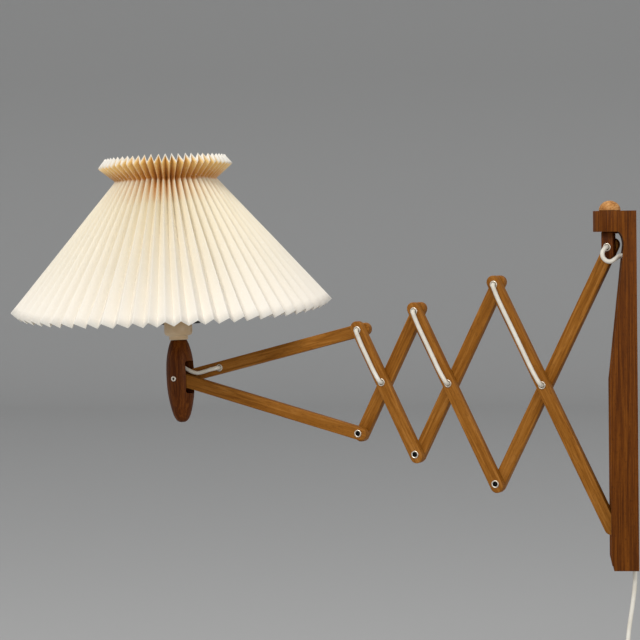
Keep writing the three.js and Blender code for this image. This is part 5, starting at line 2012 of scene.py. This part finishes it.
@dataclass
class Studio:
    """Camera, floor, backdrop and lights."""

    frame_px: float = 640.0
    focal_px: float = 2400.0
    sensor: float = 36.0
    place: Point = (-0.149, -2.676, 0.158)
    yaw: float = math.radians(4.3)
    roll: float = math.radians(-0.485)
    horizon_px: float = 249.53
    floor_drop: float = 0.02
    floor_grey: float = 0.42
    floor_side: float = 12.0
    floor_back: float = 8.0
    floor_bend: float = 1.6
    backdrop: float = 8.0
    world_light: float = 0.68

    def camera(self) -> None:
        """The camera at the photograph's angle."""
        data = bpy.data.cameras.new("camera")
        data.sensor_width = self.sensor
        data.lens = self.focal_px / self.frame_px * self.sensor
        data.shift_y = (self.horizon_px - self.frame_px / 2) / self.frame_px
        thing = linked("camera", data)
        thing.location = self.place
        turn = Matrix.Rotation(self.yaw, 4, "Z") @ Matrix.Rotation(math.pi / 2, 4, "X")
        thing.rotation_euler = (turn @ Matrix.Rotation(self.roll, 4, "Z")).to_euler()
        bpy.context.scene.camera = thing

    def lamp(
        self, name: str, place: Point, target: Point, size: float, power: float, colour: Colour
    ) -> None:
        """One soft area light.

        Args:
            name: The light's name.
            place: Where it stands.
            target: Where it points.
            size: How wide it is.
            power: Its power in watts.
            colour: Its colour.
        """
        data = bpy.data.lights.new(name, "AREA")
        data.shape = "DISK"
        data.size = size
        data.energy = power
        data.color = colour
        thing = linked(name, data)
        thing.location = place
        way = Vector(target) - Vector(place)
        thing.rotation_euler = way.to_track_quat("-Z", "Y").to_euler()

    def sweep(self) -> None:
        """A pale floor that runs up into a backdrop."""
        low = CAD_BOUNDS[0][2] - self.floor_drop
        shape = bmesh.new()
        foot, bend, side, high = self.floor_back, self.floor_bend, self.floor_side, self.backdrop
        line = [(-side, low), *arc(foot, low + bend, bend, -90, 0, 16), (foot + bend, low + high)]
        corners = [shape.verts.new((-side, y, z)) for y, z in line]
        edges = [shape.edges.new(pair) for pair in zip(corners, corners[1:])]
        grown = bmesh.ops.extrude_edge_only(shape, edges=edges)
        verts = [item for item in grown["geom"] if isinstance(item, bmesh.types.BMVert)]
        bmesh.ops.translate(shape, verts=verts, vec=(2 * side, 0, 0))
        bmesh.ops.recalc_face_normals(shape, faces=shape.faces)
        mesh = shaded(mesh_of(shape, "floor"))
        graph = Graph("floor")
        grey = self.floor_grey
        graph.plain(Base_Color=(grey, grey, grey * 0.985, 1.0), Roughness=0.9)
        mesh.materials.append(graph.material)
        linked("floor", mesh)

    def lights(self) -> None:
        """A large key light from the upper left and weaker fills."""
        middle = (-0.28, 0.05, 0.05)
        self.lamp("key", (-1.7, -2.5, 2.3), middle, 1.6, 64.0, (1.0, 0.98, 0.95))
        self.lamp("fill", (1.9, -2.6, 0.7), middle, 2.0, 22.0, (1.0, 0.98, 0.96))
        self.lamp("top", (-0.6, 0.6, 2.6), middle, 1.6, 12.0, (1.0, 1.0, 1.0))
        world = bpy.data.worlds.new("studio")
        world.use_nodes = True
        sky = world.node_tree.nodes["Background"]
        sky.inputs["Color"].default_value = (0.97, 0.98, 1.0, 1.0)
        sky.inputs["Strength"].default_value = self.world_light
        bpy.context.scene.world = world

    def build(self) -> None:
        """Set the stage."""
        self.sweep()
        self.lights()
        bpy.context.scene.view_settings.view_transform = "Standard"


def main() -> None:
    """Build the lamp and its studio."""
    logging.basicConfig(level=logging.INFO, format="%(name)s: %(message)s")
    studio = Studio()
    studio.camera()
    cord = MainsCord()
    steps: list[tuple[str, Callable[[], None]]] = [
        ("free cord", cord.build_free),
        ("held cord", cord.build_held),
        ("wall bar", WallBar().build),
        ("swivel", Swivel().build),
        ("scissor arm", ScissorArm().build),
        ("lamp head", LampHead().build),
        ("shade", PleatedShade().build),
        ("studio", studio.build),
    ]
    for name, build in steps:
        build()
        log.info("%s done", name)


if __name__ == "__main__":
    main()
